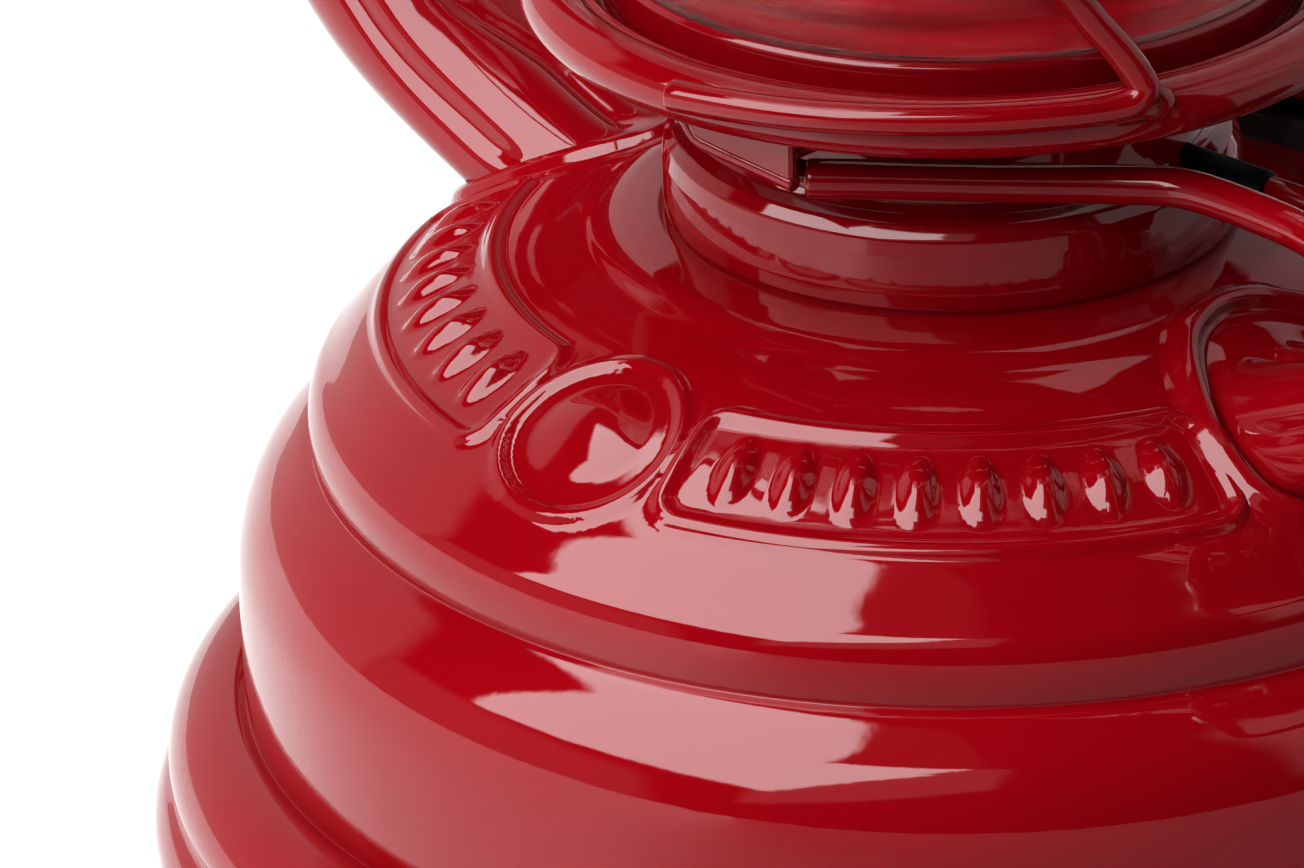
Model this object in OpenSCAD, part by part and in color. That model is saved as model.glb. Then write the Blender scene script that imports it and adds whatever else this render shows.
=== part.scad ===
// Hurricane lantern: stepped steel fuel tank, side air tubes, lifting
// globe carrier, sprung hood, screw filler cap and swinging bail.
// Origin at the centre of the foot, +Z up, +X through the right air tube,
// -Y is the front. Millimetres.

/* [Tank] */
// Radius of the rolled foot at the widest place
foot_r = 58.5; // [57:0.5:60]
// Radius of the upright band above the lower shoulder
band_r = 51.6; // [51.2:0.1:52]
// Radius of the dome's short upright edge
dome_r = 46.2; // [46:0.1:46.4]
// Height of the dome's top edge, where the burner collar sits
tank_h = 52; // [51.5:0.1:52.5]
// Thickness of the drawn sheet
sheet = 0.8; // [0.6:0.1:1]

/* [Burner collar] */
// Radius of the bead at the collar's foot
collar_r = 20.6; // [20.5:0.1:20.8]
// Height of the collar's top edge
collar_top = 65; // [64.5:0.1:65.5]

/* [Air tubes] */
// Distance of the upright tube axis from the lantern's axis
tube_x = 68.5; // [68:0.5:70]
// Tube thickness, inwards to outwards
tube_t = 13; // [12:0.5:13]
// Tube width, front to back
tube_w = 20; // [19:0.5:20]
// Radius of the lower bend's centre line
bend_low = 49; // [48:0.5:50]
// Radius of the upper bend's centre line
bend_top = 40; // [38:0.5:41]
// Height where the upright part of the tube ends
tube_top = 182; // [181:0.5:183]

/* [Globe carrier] */
// Largest radius of the plate's rolled rim
rim_r = 30.6; // [30.5:0.1:30.8]
// Height of the centre of the rolled rim
rim_z = 69.8; // [69.7:0.1:70]
// Radius of the guard wire
guard_wr = 1.15; // [1:0.05:1.2]
// Height of the guard wires' loops around the tubes
guard_loop_z = 136.5; // [134:0.5:138]
// Thickness of the glass
glass_t = 2.2; // [1.8:0.1:2.4]

/* [Lift lever] */
// Height of the lever wire
lever_z = 62.5; // [62.3:0.1:62.7]
// Radius of the lever wire
lever_wr = 1.4; // [1.2:0.05:1.45]
// Distance of the fulcrum from the lantern's axis
fulcrum_x = 58; // [57:0.5:59]

/* [Hood] */
// Radius of the rain cap
hood_r = 37; // [35:0.5:39]
// Radius of the chimney
chimney_r = 18.3; // [17.8:0.1:18.4]
// Number of coils in the hood spring
spring_turns = 6; // [4:1:7]

/* [Bail] */
// Height of the bail's pivot
bail_z = 176; // [174:0.5:178]
// Angle of the hanging bail from straight down
bail_hang = 26; // [26:0.5:28]
// Radius of the bail wire
bail_wr = 1.5; // [1.3:0.1:1.6]

/* [Wick feed] */
// Distance of the wick shaft from the wick's mid plane
shaft_y = 4.7; // [4.6:0.1:4.8]
// Height of the wick shaft
shaft_z = 59; // [58.9:0.1:59.2]
// Radius of the wick shaft
shaft_r = 1.1; // [1:0.05:1.2]

/* [Filler] */
// Distance of the filler from the lantern's axis
filler_y = 36; // [35:0.5:37]
// Tilt of the filler's axis
filler_tilt = 28; // [27:1:29]

/* [Hidden] */
$fn = 64;
red = [0.62, 0.02, 0.04];
steel = [0.72, 0.72, 0.74];
brass = [0.78, 0.6, 0.28];
dark = [0.08, 0.08, 0.09];

filler_z = tank_h - 5.1;
bend_cx = tube_x - bend_low;
bend_cz = 91;
chamber_r = 33;
chamber_z = tube_top + bend_top;
floor_z = chamber_z - 12;
ring_z = 264.5;
ring_mr = 9;
ring_wr = 1.2;
ring_hang = 27;
bail_x = 78.3;
bail_leg = 50;

// ---- helpers -------------------------------------------------------
function unit(v) = v / norm(v);
function tang(P, i) = i == 0 ? unit(P[1] - P[0])
  : i == len(P) - 1 ? unit(P[i] - P[i - 1])
  : unit(unit(P[i] - P[i - 1]) + unit(P[i + 1] - P[i]));
function flat(n, t) = unit(n - (n * t) * t);
function normals(P, n0, i = 0) = i == len(P) ? []
  : let (n = flat(n0, tang(P, i))) concat([n], normals(P, n, i + 1));
// smooth curve through the given points, k steps between neighbours
function blend(a, b, c, d, t) = 0.5 * (2 * b + (c - a) * t
  + (2 * a - 5 * b + 4 * c - d) * t * t + (3 * b - a - 3 * c + d) * t * t * t);
function smooth(P, k = 3) = let (n = len(P)) concat([for (i = [0 : n - 2], j = [0 : k - 1])
  blend(P[max(i - 1, 0)], P[i], P[i + 1], P[min(i + 2, n - 1)], j / k)], [P[n - 1]]);
// round wire along a path
module wire(P, r, sides = 10, up = [0.3, 0.2, 1]) {
  N = normals(P, up);
  pts = [for (i = [0 : len(P) - 1]) let (t = tang(P, i), n = N[i], b = cross(t, n))
    for (s = [0 : sides - 1]) P[i] + r * (cos(360 * s / sides) * n + sin(360 * s / sides) * b)];
  m = len(P);
  faces = concat(
    [[for (s = [0 : sides - 1]) s]],
    [[for (s = [sides - 1 : -1 : 0]) (m - 1) * sides + s]],
    [for (i = [0 : m - 2], s = [0 : sides - 1]) let (a = i * sides + s, b = i * sides + (s + 1) % sides)
      [a, a + sides, b + sides]],
    [for (i = [0 : m - 2], s = [0 : sides - 1]) let (a = i * sides + s, b = i * sides + (s + 1) % sides)
      [a, b + sides, b]]);
  polyhedron(pts, faces, convexity = 8);
}
function polar(r, a, z) = [r * cos(a), r * sin(a), z];

// ---- tank ----------------------------------------------------------
tank_out = [
  [foot_r - 0.9, 0], [foot_r - 0.3, 2], [foot_r, 4.4], [foot_r - 0.1, 6], [foot_r - 0.7, 7.3],
  [foot_r - 1.5, 8.2], [foot_r - 1.7, 8.9], [foot_r - 1.25, 9.9], [foot_r - 1.4, 11.4],
  [foot_r - 2.2, 12.9], [foot_r - 3.5, 14.1], [foot_r - 5, 14.8], [band_r + 0.7, 15],
  [band_r - 0.1, 14.9], [band_r - 0.1, 15.8], [band_r, 18], [band_r, 24.9], [band_r - 0.2, 27.3],
  [band_r - 1, 29.5], [band_r - 2.3, 31.7], [band_r - 4.3, 33.7], [dome_r + 0.3, 34.2],
  [dome_r - 0.1, 34.5], [dome_r, 35.4], [dome_r, 37.2], [dome_r - 0.15, 38], [dome_r - 0.6, 39.15],
  [dome_r - 1.4, 40.2], [dome_r - 3.9, 42.8], [37.4, tank_h - 5.9], [32.4, tank_h - 3.45],
  [27.7, tank_h - 1.85], [26.5, tank_h - 1.55], [25.9, tank_h - 1.15], [25.4, tank_h - 0.7],
  [24.7, tank_h - 0.4], [23, tank_h - 0.2], [collar_r, tank_h]];
tank_in = [
  [55.2, 0], [55.2, sheet], [foot_r - 1.8, 1.4], [foot_r - 1.05, 3], [foot_r - 1.05, 5.8],
  [foot_r - 1.5, 6.9], [foot_r - 2.5, 8.1], [foot_r - 2.6, 9.1], [foot_r - 2.15, 10.2],
  [foot_r - 2.2, 11.2], [foot_r - 2.9, 12.4], [foot_r - 4, 13.3], [foot_r - 5.3, 13.9],
  [foot_r - 6.3, 14.1], [band_r - 0.8, 14], [band_r - 0.9, 14.6], [band_r - sheet, 24.9],
  [band_r - 1.1, 27], [band_r - 1.8, 29], [band_r - 3, 31], [band_r - 4.7, 32.9],
  [dome_r - 0.6, 33.6], [dome_r - 0.9, 34.4], [dome_r - sheet, 37.2], [dome_r - 1, 37.8],
  [dome_r - 1.4, 38.8], [dome_r - 2.2, 39.6], [dome_r - 4.6, 42], [36.9, tank_h - 6.8],
  [32.1, tank_h - 4.4], [27.5, tank_h - 2.8], [25.6, tank_h - 2.3], [24.9, tank_h - 1.6],
  [24.3, tank_h - 1.25], [23, tank_h - 1.1], [19.4, tank_h - 0.9], [19.4, tank_h]];
module tank_solid(up = 0) {
  rotate_extrude() translate([0, up]) polygon(concat([[0, 0]], tank_out, [[0, tank_h]]));
}
module filler_frame() { translate([0, filler_y, filler_z]) rotate([-filler_tilt, 0, 0]) children(); }
module tank_shell() {
  color(red) difference() {
    rotate_extrude() polygon(concat(tank_out, [for (i = [len(tank_in) - 1 : -1 : 0]) tank_in[i]]));
    filler_frame() translate([0, 0, -8]) cylinder(r = 9.1, h = 16);
  }
}
module tank_bottom() {
  color(red) rotate_extrude() polygon([[0, 5.4], [40, 5.4], [46, 3.2], [foot_r - 1.1, 3.2],
    [foot_r - 1.1, 4], [46.3, 4], [40.3, 6.2], [0, 6.2]]);
}

// ---- filler --------------------------------------------------------
module filler_neck() {
  color(steel) filler_frame() difference() {
    union() {
      translate([0, 0, -3]) cylinder(r = 9, h = 9);
      difference() {
        translate([0, 0, -4]) cylinder(r = 11, h = 5.6);
        translate([0, 0, -6]) cylinder(r = 8.9, h = 9);
        rotate([filler_tilt, 0, 0]) translate([0, -filler_y, -filler_z]) tank_solid(0.05);
      }
    }
    translate([0, 0, -5]) cylinder(r = 7.2, h = 14);
  }
}
module cap_gasket() {
  color(dark) filler_frame() translate([0, 0, 6.1]) cylinder(r = 9.1, h = 2.1);
}
module filler_cap() {
  color(steel) filler_frame() difference() {
    union() {
      translate([0, 0, 2.3]) cylinder(r = 12, h = 7.4);
      translate([0, 0, 9.6]) cylinder(r1 = 12, r2 = 11, h = 0.9);
    }
    translate([0, 0, 1]) cylinder(r = 9.4, h = 7.3);
    for (a = [0 : 20 : 340]) rotate(a) translate([12.6, 0, 1]) cylinder(r = 1, h = 9.5);
  }
}

// ---- burner --------------------------------------------------------
module burner_collar() {
  color(red) difference() {
    rotate_extrude() polygon([[17.8, 47], [19.3, 47], [19.3, tank_h + 0.05], [collar_r - 0.3, tank_h + 0.05],
      [collar_r, 53.4], [collar_r, 55.2], [collar_r - 0.4, 57], [collar_r - 1.1, 58.2],
      [collar_r - 1.8, 59], [collar_r - 2.1, 59.6], [collar_r - 2.1, collar_top - 0.4],
      [collar_r - 2.4, collar_top], [17.8, collar_top]]);
    translate([10, shaft_y, shaft_z]) rotate([0, 90, 0]) cylinder(r = shaft_r + 0.05, h = 12);
  }
}
module air_plate() {
  color(brass) difference() {
    translate([0, 0, 53]) cylinder(r = 17.75, h = 1);
    translate([-7.3, -2.15, 52]) cube([14.6, 4.3, 3]);
    for (a = [0 : 20 : 340]) rotate(a + 10) translate([14, 0, 52]) cylinder(r = 1.1, h = 3);
    for (a = [0 : 30 : 330]) rotate(a + 15) translate([10, 0, 52]) cylinder(r = 0.9, h = 3);
  }
}
module wick_tube() {
  color(brass) difference() {
    translate([-7.25, -2.1, 44]) cube([14.5, 4.2, 28]);
    translate([-6.5, -1.3, 43]) cube([13, 2.6, 30]);
    for (s = [-1, 1]) translate([s * 3.5 - 1.3, 0, shaft_z - 4.4]) cube([2.6, 4, 8.8]);
  }
}
module flame_cone() {
  color(brass) difference() {
    rotate_extrude() polygon([[16.6, 65.1], [17.5, 65.1], [17.5, 67.5], [16.2, 70.5], [13, 74.5], [8.5, 77.8],
      [0, 79.4], [0, 78.6], [8.1, 77.1], [12.4, 74], [15.5, 70.2], [16.6, 67.3]]);
    translate([-8.2, -2.8, 72]) cube([16.4, 5.6, 10]);
  }
}
module wick() {
  color([0.93, 0.9, 0.82]) translate([-6.1, -0.8, 14]) cube([12.2, 1.6, 60]);
}
module on_shaft() { translate([0, shaft_y, shaft_z]) rotate([0, 90, 0]) children(); }
module wick_shaft() { color(dark) on_shaft() translate([0, 0, -9]) cylinder(r = shaft_r, h = 46); }
module wick_wheels() {
  color(brass) on_shaft() for (s = [-1, 1]) translate([0, 0, s * 3.5 - 0.8]) difference() {
    cylinder(r = 3.5, h = 1.6);
    translate([0, 0, -1]) cylinder(r = shaft_r + 0.02, h = 4);
    for (a = [0 : 45 : 315]) rotate(a) translate([3.9, 0, -1]) cylinder(r = 0.9, h = 4);
  }
}
module wick_knob() {
  color(dark) on_shaft() difference() {
    union() {
      translate([0, 0, 34]) cylinder(r = 6, h = 2.2);
      translate([0, 0, 32.6]) cylinder(r = 2.6, h = 1.6);
    }
    translate([0, 0, 32]) cylinder(r = shaft_r + 0.02, h = 6);
    for (a = [0 : 24 : 336]) rotate(a) translate([6.3, 0, 33]) cylinder(r = 0.8, h = 4);
  }
}

// ---- air tubes and top chamber ---------------------------------------
module stadium(g = 0) {
  r = tube_t / 2 - g;
  square([2 * r, tube_w - tube_t], center = true);
  for (s = [-1, 1]) translate([0, s * (tube_w - tube_t) / 2]) circle(r = r);
}
module tube_run(g = 0) {
  translate([bend_cx, 0, bend_cz]) mirror([0, 0, 1]) rotate([90, 0, 0])
    rotate_extrude(angle = 80) translate([bend_low, 0]) stadium(g);
  translate([tube_x, 0, bend_cz]) linear_extrude(tube_top - bend_cz) stadium(g);
  translate([tube_x - bend_top, 0, tube_top]) rotate([90, 0, 0])
    rotate_extrude(angle = 90) translate([bend_top, 0]) stadium(g);
}
module fairing() {
  translate([0, 0, 40]) linear_extrude(tank_h - 40 + 0.3) {
    polygon([[25.6, -3.4], [40.5, -8.6], [42.5, -8.6], [42.5, 8.6], [40.5, 8.6], [25.6, 3.4]]);
    translate([25.6, 0]) circle(r = 3.4);
  }
}
module side_tube() {
  color(red) difference() {
    union() {
      tube_run();
      fairing();
    }
    tube_run(sheet);
    tank_solid(0.04);
    cylinder(r = collar_r + 0.5, h = 70);
    translate([0, 0, 200]) cylinder(r = chamber_r + 0.05, h = 40);
  }
}
module side_tube_right() { side_tube(); }
module side_tube_left() { mirror([1, 0, 0]) side_tube(); }
module top_chamber() {
  color(red) difference() {
    rotate_extrude() {
      polygon([[chamber_r - sheet, floor_z], [chamber_r, floor_z], [chamber_r, chamber_z + 8],
        [chamber_r - 1.5, chamber_z + 9.4], [21, chamber_z + 13], [20.2, chamber_z + 13], [19.4, chamber_z + 13],
        [19.4, floor_z + 3], [20.2, floor_z + 3], [20.2, chamber_z + 4.4], [23.4, chamber_z + 4.4], [23.4, chamber_z + 5.2],
        [20.2, chamber_z + 5.2], [20.2, chamber_z + 12.1], [chamber_r - 2, chamber_z + 8.6],
        [chamber_r - sheet, chamber_z + 7.4]]);
    }
    for (m = [0, 1]) mirror([m, 0, 0]) translate([24, 0, chamber_z]) rotate([0, 90, 0]) linear_extrude(14) rotate(0) stadium(sheet);
  }
}
module chamber_floor() {
  color(red) translate([0, 0, floor_z + 1]) difference() {
    cylinder(r = chamber_r - sheet - 0.05, h = 0.8);
    translate([0, 0, -1]) cylinder(r = 22.7, h = 3);
    for (a = [0 : 30 : 330]) rotate(a + 15) translate([27.5, 0, -1]) cylinder(r = 2, h = 3);
  }
}

// ---- globe carrier ---------------------------------------------------
roll_r = 1.85;
roll_c = rim_r - roll_r;
module globe_plate() {
  color(red) difference() {
    rotate_extrude() {
      translate([roll_c, rim_z]) circle(r = roll_r);
      translate([26.5, rim_z + 0.5]) circle(r = 0.6);
      polygon([[20.2, 67.6], [21, 67.6], [21, 68.2], [27.75, 68.5], [27.75, 69.3], [27.2, 69.3], [27.2, rim_z + 0.4],
        [26.1, rim_z + 0.4], [26.1, 69], [24.6, 69], [24.6, 72.1], [24.3, 72.4], [22.9, 72.4], [22.6, 72.1], [22.6, 69],
        [21, 69], [21, 75.4], [20.6, 76], [20.2, 75.4]]);
    }
    for (a = [0 : 15 : 345]) rotate(a) translate([21.8, 0, 66]) cylinder(r = 0.6, h = 5);
  }
}
globe_out = [[24.5, 72.5], [24.8, 74.5], [26.2, 78], [29.4, 84], [33, 90], [36.4, 97], [38.8, 105], [39.8, 113],
  [39.8, 121], [38.6, 130], [35.6, 140], [31.3, 150], [26.8, 160], [23.6, 168], [22, 174], [21.6, 177]];
module globe() {
  color([0.85, 0.9, 0.92, 0.35]) rotate_extrude() polygon(concat(globe_out,
    [for (i = [len(globe_out) - 1 : -1 : 0]) globe_out[i] - [glass_t, 0]]));
}
// The wire's foot lies on the rim, then the wire climbs across the globe and
// ends in a loop around the far air tube.
guard_path = concat(
  [for (a = [-85 : 5.8 : -27]) polar(rim_r + 1.35, a, rim_z + 0.1 + (a + 85) / 58 * 1.1)],
  smooth([[29.4, -13.1, 71.9], [29.6, -12.4, 73], [29, -12.8, 74.3], [27.3, -14.4, 77], [25.7, -16.4, 79.5],
    [24.6, -19.2, 82.8], [23.5, -23.7, 86.8], [21.5, -28.3, 90.8], [17, -34.2, 95.6], [10.5, -40, 100],
    [-1, -42.8, 107], [-15, -41.5, 114], [-30, -36, 121], [-45, -27, 128], [-56.5, -19, 133],
    [-62.5, -14.6, guard_loop_z - 1], [-68.5, -12.4, guard_loop_z], [-74.2, -10.4, guard_loop_z],
    [-77.3, -5.5, guard_loop_z], [-77.6, 0, guard_loop_z], [-77.3, 5.5, guard_loop_z],
    [-74.2, 10.4, guard_loop_z], [-68.5, 12.4, guard_loop_z], [-63, 10.8, guard_loop_z], [-60.4, 7, guard_loop_z]], 2));
module guard_wire_front() { color(red) wire(guard_path, guard_wr); }
module guard_wire_back() { color(red) rotate(180) wire(guard_path, guard_wr); }
module lift_strap() {
  color(red) translate([0, -20.5, 0]) rotate([90, 0, 0]) linear_extrude(3.7)
    polygon([[-9.5, 68.1], [-9.5, 67.2], [3.4, 59.9], [7.8, 59.9], [7.8, 60.7], [3.8, 60.7], [-2.4, 64.3],
      [7.8, 64.3], [7.8, 65.1], [-4, 65.1], [-6.6, 66.6], [-6.6, 68.1]]);
}

// ---- lift lever --------------------------------------------------------
lever_path = concat(
  [[5.6, -22.1, lever_z], [7.2, -21.6, lever_z]],
  smooth([[9.4, -19.8, lever_z], [17, -13.5, lever_z], [23.8, -7.8, lever_z], [26.6, -6, lever_z], [30, -5.6, lever_z],
    [38, -6.3, lever_z], [44, -8.6, lever_z], [49.5, -12.8, lever_z], [54, -14.5, lever_z], [fulcrum_x, -14.6, lever_z],
    [66, -14.6, lever_z], [73, -14.2, lever_z + 0.4], [77, -11.5, lever_z + 1], [78.6, -6, lever_z + 1.2], [78.6, 0, lever_z + 1.2]], 2));
module lift_lever() {
  color(red) difference() {
    union() {
      wire(lever_path, lever_wr);
      translate([fulcrum_x, -13.2, lever_z]) rotate([90, 0, 0]) cylinder(r = 3, h = 2.8);
      translate([78.6, 0, lever_z + 1.2]) sphere(r = 2.2);
    }
    translate([fulcrum_x, -10, lever_z]) rotate([90, 0, 0]) cylinder(r = 1.05, h = 9);
  }
}
module lever_bracket() {
  color(red) difference() {
    translate([fulcrum_x, -7, lever_z]) rotate([90, 0, 0]) cylinder(r = 4, h = 5.6);
    difference() { tube_run(-0.05); tube_run(4); }
    translate([fulcrum_x, -8, lever_z]) rotate([90, 0, 0]) cylinder(r = 1.02, h = 9);
  }
}
module lever_pin() {
  color(steel) translate([fulcrum_x, 0, lever_z]) rotate([90, 0, 0]) {
    translate([0, 0, 10.6]) cylinder(r = 1, h = 6);
    translate([0, 0, 16.4]) cylinder(r = 2, h = 0.9);
  }
}

// ---- hood ----------------------------------------------------------------
module chimney() {
  color(red) difference() {
    translate([0, 0, 188]) cylinder(r = chimney_r, h = 63.4);
    translate([0, 0, 187]) cylinder(r = chimney_r - sheet, h = 66);
    for (a = [0 : 45 : 315]) rotate(a) translate([10, -3.6, 240]) cube([12, 7.2, 7]);
  }
}
module globe_crown() {
  color(red) rotate_extrude() polygon([[17, 177.4], [27.2, 177.4], [28, 178.2], [28, 180.2], [19.1, 186.6], [19.1, 188.4],
    [chimney_r + 0.05, 188.4], [chimney_r + 0.05, 187.95], [17.4, 187.95], [17.4, 187], [18.2, 186.2], [27.1, 179.8], [27.1, 178.3], [17, 178.3]]);
}
module hood_cap() {
  color(red) rotate_extrude() polygon([[0, 258.5], [5, 258.2], [13, 255.6], [24, 249.8], [hood_r - 2.5, 243.2],
    [hood_r - 0.3, 241.2], [hood_r, 240], [hood_r - 0.4, 239], [hood_r - 1.2, 239.2], [hood_r - 1.3, 240.6],
    [hood_r - 3, 242.4], [23.6, 248.9], [chimney_r + 1, 251.5], [12.8, 254.6], [5, 257.3], [0, 257.6]]);
}
module ring_lug() {
  color(red) difference() {
    union() {
      translate([-0.8, 0, ring_z]) rotate([0, 90, 0]) cylinder(r = 3.1, h = 1.6);
      translate([-0.8, -2.4, 258.9]) cube([1.6, 4.8, 5.6]);
      translate([0, 0, 258.55]) cylinder(r = 3.6, h = 0.9);
    }
    translate([-3, 0, ring_z]) rotate([0, 90, 0]) cylinder(r = ring_wr + 0.1, h = 6);
  }
}
coil_r = 21.4;
coil_low = 187.2;
coil_path = [for (i = [0 : spring_turns * 16]) polar(coil_r, 22.5 * i, coil_low + i / (spring_turns * 16) * (chamber_z + 4.4 - 0.9 - coil_low))];
module hood_spring() { color(steel) wire(coil_path, 0.75, 8, [1, 0.1, 0.1]); }
module pull_ring() {
  color(steel) translate([0, 0, ring_z]) rotate([-ring_hang, 0, 0]) translate([0, ring_mr, 0])
    rotate_extrude() translate([ring_mr, 0]) circle(r = ring_wr, $fn = 24);
}

// ---- bail ------------------------------------------------------------------
// Drawn hanging straight down from the pivot, then swung to its resting angle.
bail_path = concat([[-bail_x, 0, -3], [-bail_x, 0, -25]],
  [for (a = [180 : 9 : 360]) [bail_x * cos(a), 0, -bail_leg + bail_x * sin(a)]],
  [[bail_x, 0, -25], [bail_x, 0, -3]]);
module bail() {
  color(steel) translate([0, 0, bail_z]) rotate([bail_hang, 0, 0]) difference() {
    union() {
      wire(bail_path, bail_wr, 10, [0.1, 1, 0.1]);
      for (s = [-1, 1]) translate([s * bail_x - 1.5, 0, 0]) rotate([0, 90, 0]) cylinder(r = 4.2, h = 3);
    }
    for (s = [-1, 1]) translate([s * bail_x - 4, 0, 0]) rotate([0, 90, 0]) cylinder(r = 2.05, h = 8);
  }
}
module bail_ear() {
  color(steel) translate([tube_x + tube_t / 2 + 0.05, 0, bail_z]) rotate([0, 90, 0]) {
    cylinder(r = 4.6, h = 1.2);
    cylinder(r = 2, h = 5.6);
    translate([0, 0, 5.2]) cylinder(r = 3.3, h = 1.1);
  }
}
module bail_ear_right() { bail_ear(); }
module bail_ear_left() { mirror([1, 0, 0]) bail_ear(); }

tank_shell();
tank_bottom();
filler_neck();
filler_cap();
cap_gasket();
burner_collar();
air_plate();
wick_tube();
flame_cone();
wick();
wick_shaft();
wick_wheels();
wick_knob();
side_tube_left();
side_tube_right();
top_chamber();
chamber_floor();
globe_plate();
globe();
guard_wire_front();
guard_wire_back();
lift_strap();
lift_lever();
lever_bracket();
lever_pin();
chimney();
globe_crown();
hood_cap();
ring_lug();
hood_spring();
pull_ring();
bail();
bail_ear_left();
bail_ear_right();
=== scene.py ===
import math

import bmesh
import bpy
import numpy as np
from mathutils import Matrix, Vector


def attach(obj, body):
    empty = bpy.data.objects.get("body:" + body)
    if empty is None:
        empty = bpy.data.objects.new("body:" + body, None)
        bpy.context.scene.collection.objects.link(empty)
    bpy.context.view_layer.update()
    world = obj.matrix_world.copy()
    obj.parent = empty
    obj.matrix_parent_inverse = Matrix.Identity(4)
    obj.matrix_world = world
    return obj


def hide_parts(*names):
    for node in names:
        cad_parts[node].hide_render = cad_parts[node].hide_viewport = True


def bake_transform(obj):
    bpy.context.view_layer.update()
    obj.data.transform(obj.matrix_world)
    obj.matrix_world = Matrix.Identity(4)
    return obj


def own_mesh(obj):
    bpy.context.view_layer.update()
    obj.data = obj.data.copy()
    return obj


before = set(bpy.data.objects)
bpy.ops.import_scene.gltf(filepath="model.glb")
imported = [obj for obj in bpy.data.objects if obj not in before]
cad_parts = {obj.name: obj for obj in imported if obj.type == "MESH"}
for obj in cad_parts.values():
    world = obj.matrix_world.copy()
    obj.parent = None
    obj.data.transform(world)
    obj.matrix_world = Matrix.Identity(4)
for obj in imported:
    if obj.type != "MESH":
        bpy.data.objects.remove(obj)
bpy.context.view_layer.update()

scene = bpy.context.scene
MM = 0.001
PI = math.pi

# ---------------------------------------------------------------- camera
cam_data = bpy.data.cameras.new("camera")
cam_data.sensor_fit = "HORIZONTAL"
cam_data.sensor_width = 36.0
cam_data.lens = 220.86
cam_data.clip_start, cam_data.clip_end = 0.01, 60.0
cam = bpy.data.objects.new("camera", cam_data)
scene.collection.objects.link(cam)
fwd = Vector((-0.6434, 0.6434, -0.4147)).normalized()
rgt = Vector((0.7114, 0.7026, -0.0137))
rgt = (rgt - fwd * rgt.dot(fwd)).normalized()
upv = rgt.cross(fwd)
place = Matrix.Identity(4)
for i in range(3):
    place[i][0], place[i][1], place[i][2] = rgt[i], upv[i], -fwd[i]
    place[i][3] = (0.3565, -0.38708, 0.2738)[i]
cam.matrix_world = place
scene.camera = cam
scene.view_settings.view_transform = "Standard"
scene.view_settings.look = "None"
scene.view_settings.exposure = 0.0
scene.view_settings.gamma = 1.0
scene.view_settings.use_curve_mapping = True
tone = scene.view_settings.curve_mapping
tone.initialize()
for x, y in ((0.03, 0.02), (0.08, 0.065), (0.15, 0.14), (0.28, 0.3), (0.5, 0.56), (0.75, 0.79)):
    tone.curves[3].points.new(x, y)
tone.update()


# ---------------------------------------------------------------- node help
def material(name):
    m = bpy.data.materials.new(name)
    m.use_nodes = True
    nt = m.node_tree
    nt.nodes.clear()
    out = nt.nodes.new("ShaderNodeOutputMaterial")
    b = nt.nodes.new("ShaderNodeBsdfPrincipled")
    nt.links.new(b.outputs["BSDF"], out.inputs["Surface"])
    tc = nt.nodes.new("ShaderNodeTexCoord")
    return m, nt, b, tc.outputs["Object"]


def noise(nt, co, scale, detail=2.0, rough=0.5, stretch=None):
    if stretch is not None:
        mp = nt.nodes.new("ShaderNodeMapping")
        mp.inputs["Scale"].default_value = stretch
        nt.links.new(co, mp.inputs["Vector"])
        co = mp.outputs["Vector"]
    n = nt.nodes.new("ShaderNodeTexNoise")
    n.inputs["Scale"].default_value = scale
    n.inputs["Detail"].default_value = detail
    n.inputs["Roughness"].default_value = rough
    nt.links.new(co, n.inputs["Vector"])
    return n.outputs["Fac"]


def ramp(nt, fac, stops):
    r = nt.nodes.new("ShaderNodeValToRGB")
    e = r.color_ramp.elements
    while len(e) < len(stops):
        e.new(0.5)
    for k, (pos, col) in enumerate(stops):
        e[k].position = pos
        e[k].color = tuple(col) + (1.0,) if len(col) == 3 else col
    nt.links.new(fac, r.inputs["Fac"])
    return r.outputs["Color"]


def remap(nt, fac, a, b, c, d, smooth=False):
    r = nt.nodes.new("ShaderNodeMapRange")
    if smooth:
        r.interpolation_type = "SMOOTHSTEP"
    for key, v in zip(("From Min", "From Max", "To Min", "To Max"), (a, b, c, d)):
        r.inputs[key].default_value = v
    nt.links.new(fac, r.inputs["Value"])
    return r.outputs["Result"]


def calc(nt, op, a, b=None, c=None):
    n = nt.nodes.new("ShaderNodeMath")
    n.operation = op
    for k, v in enumerate((a, b, c)):
        if v is None:
            continue
        if isinstance(v, (int, float)):
            n.inputs[k].default_value = v
        else:
            nt.links.new(v, n.inputs[k])
    return n.outputs[0]


def bump(nt, height, strength, distance, under=None):
    b = nt.nodes.new("ShaderNodeBump")
    b.inputs["Strength"].default_value = strength
    b.inputs["Distance"].default_value = distance
    nt.links.new(height, b.inputs["Height"])
    if under is not None:
        nt.links.new(under, b.inputs["Normal"])
    return b.outputs["Normal"]


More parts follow.
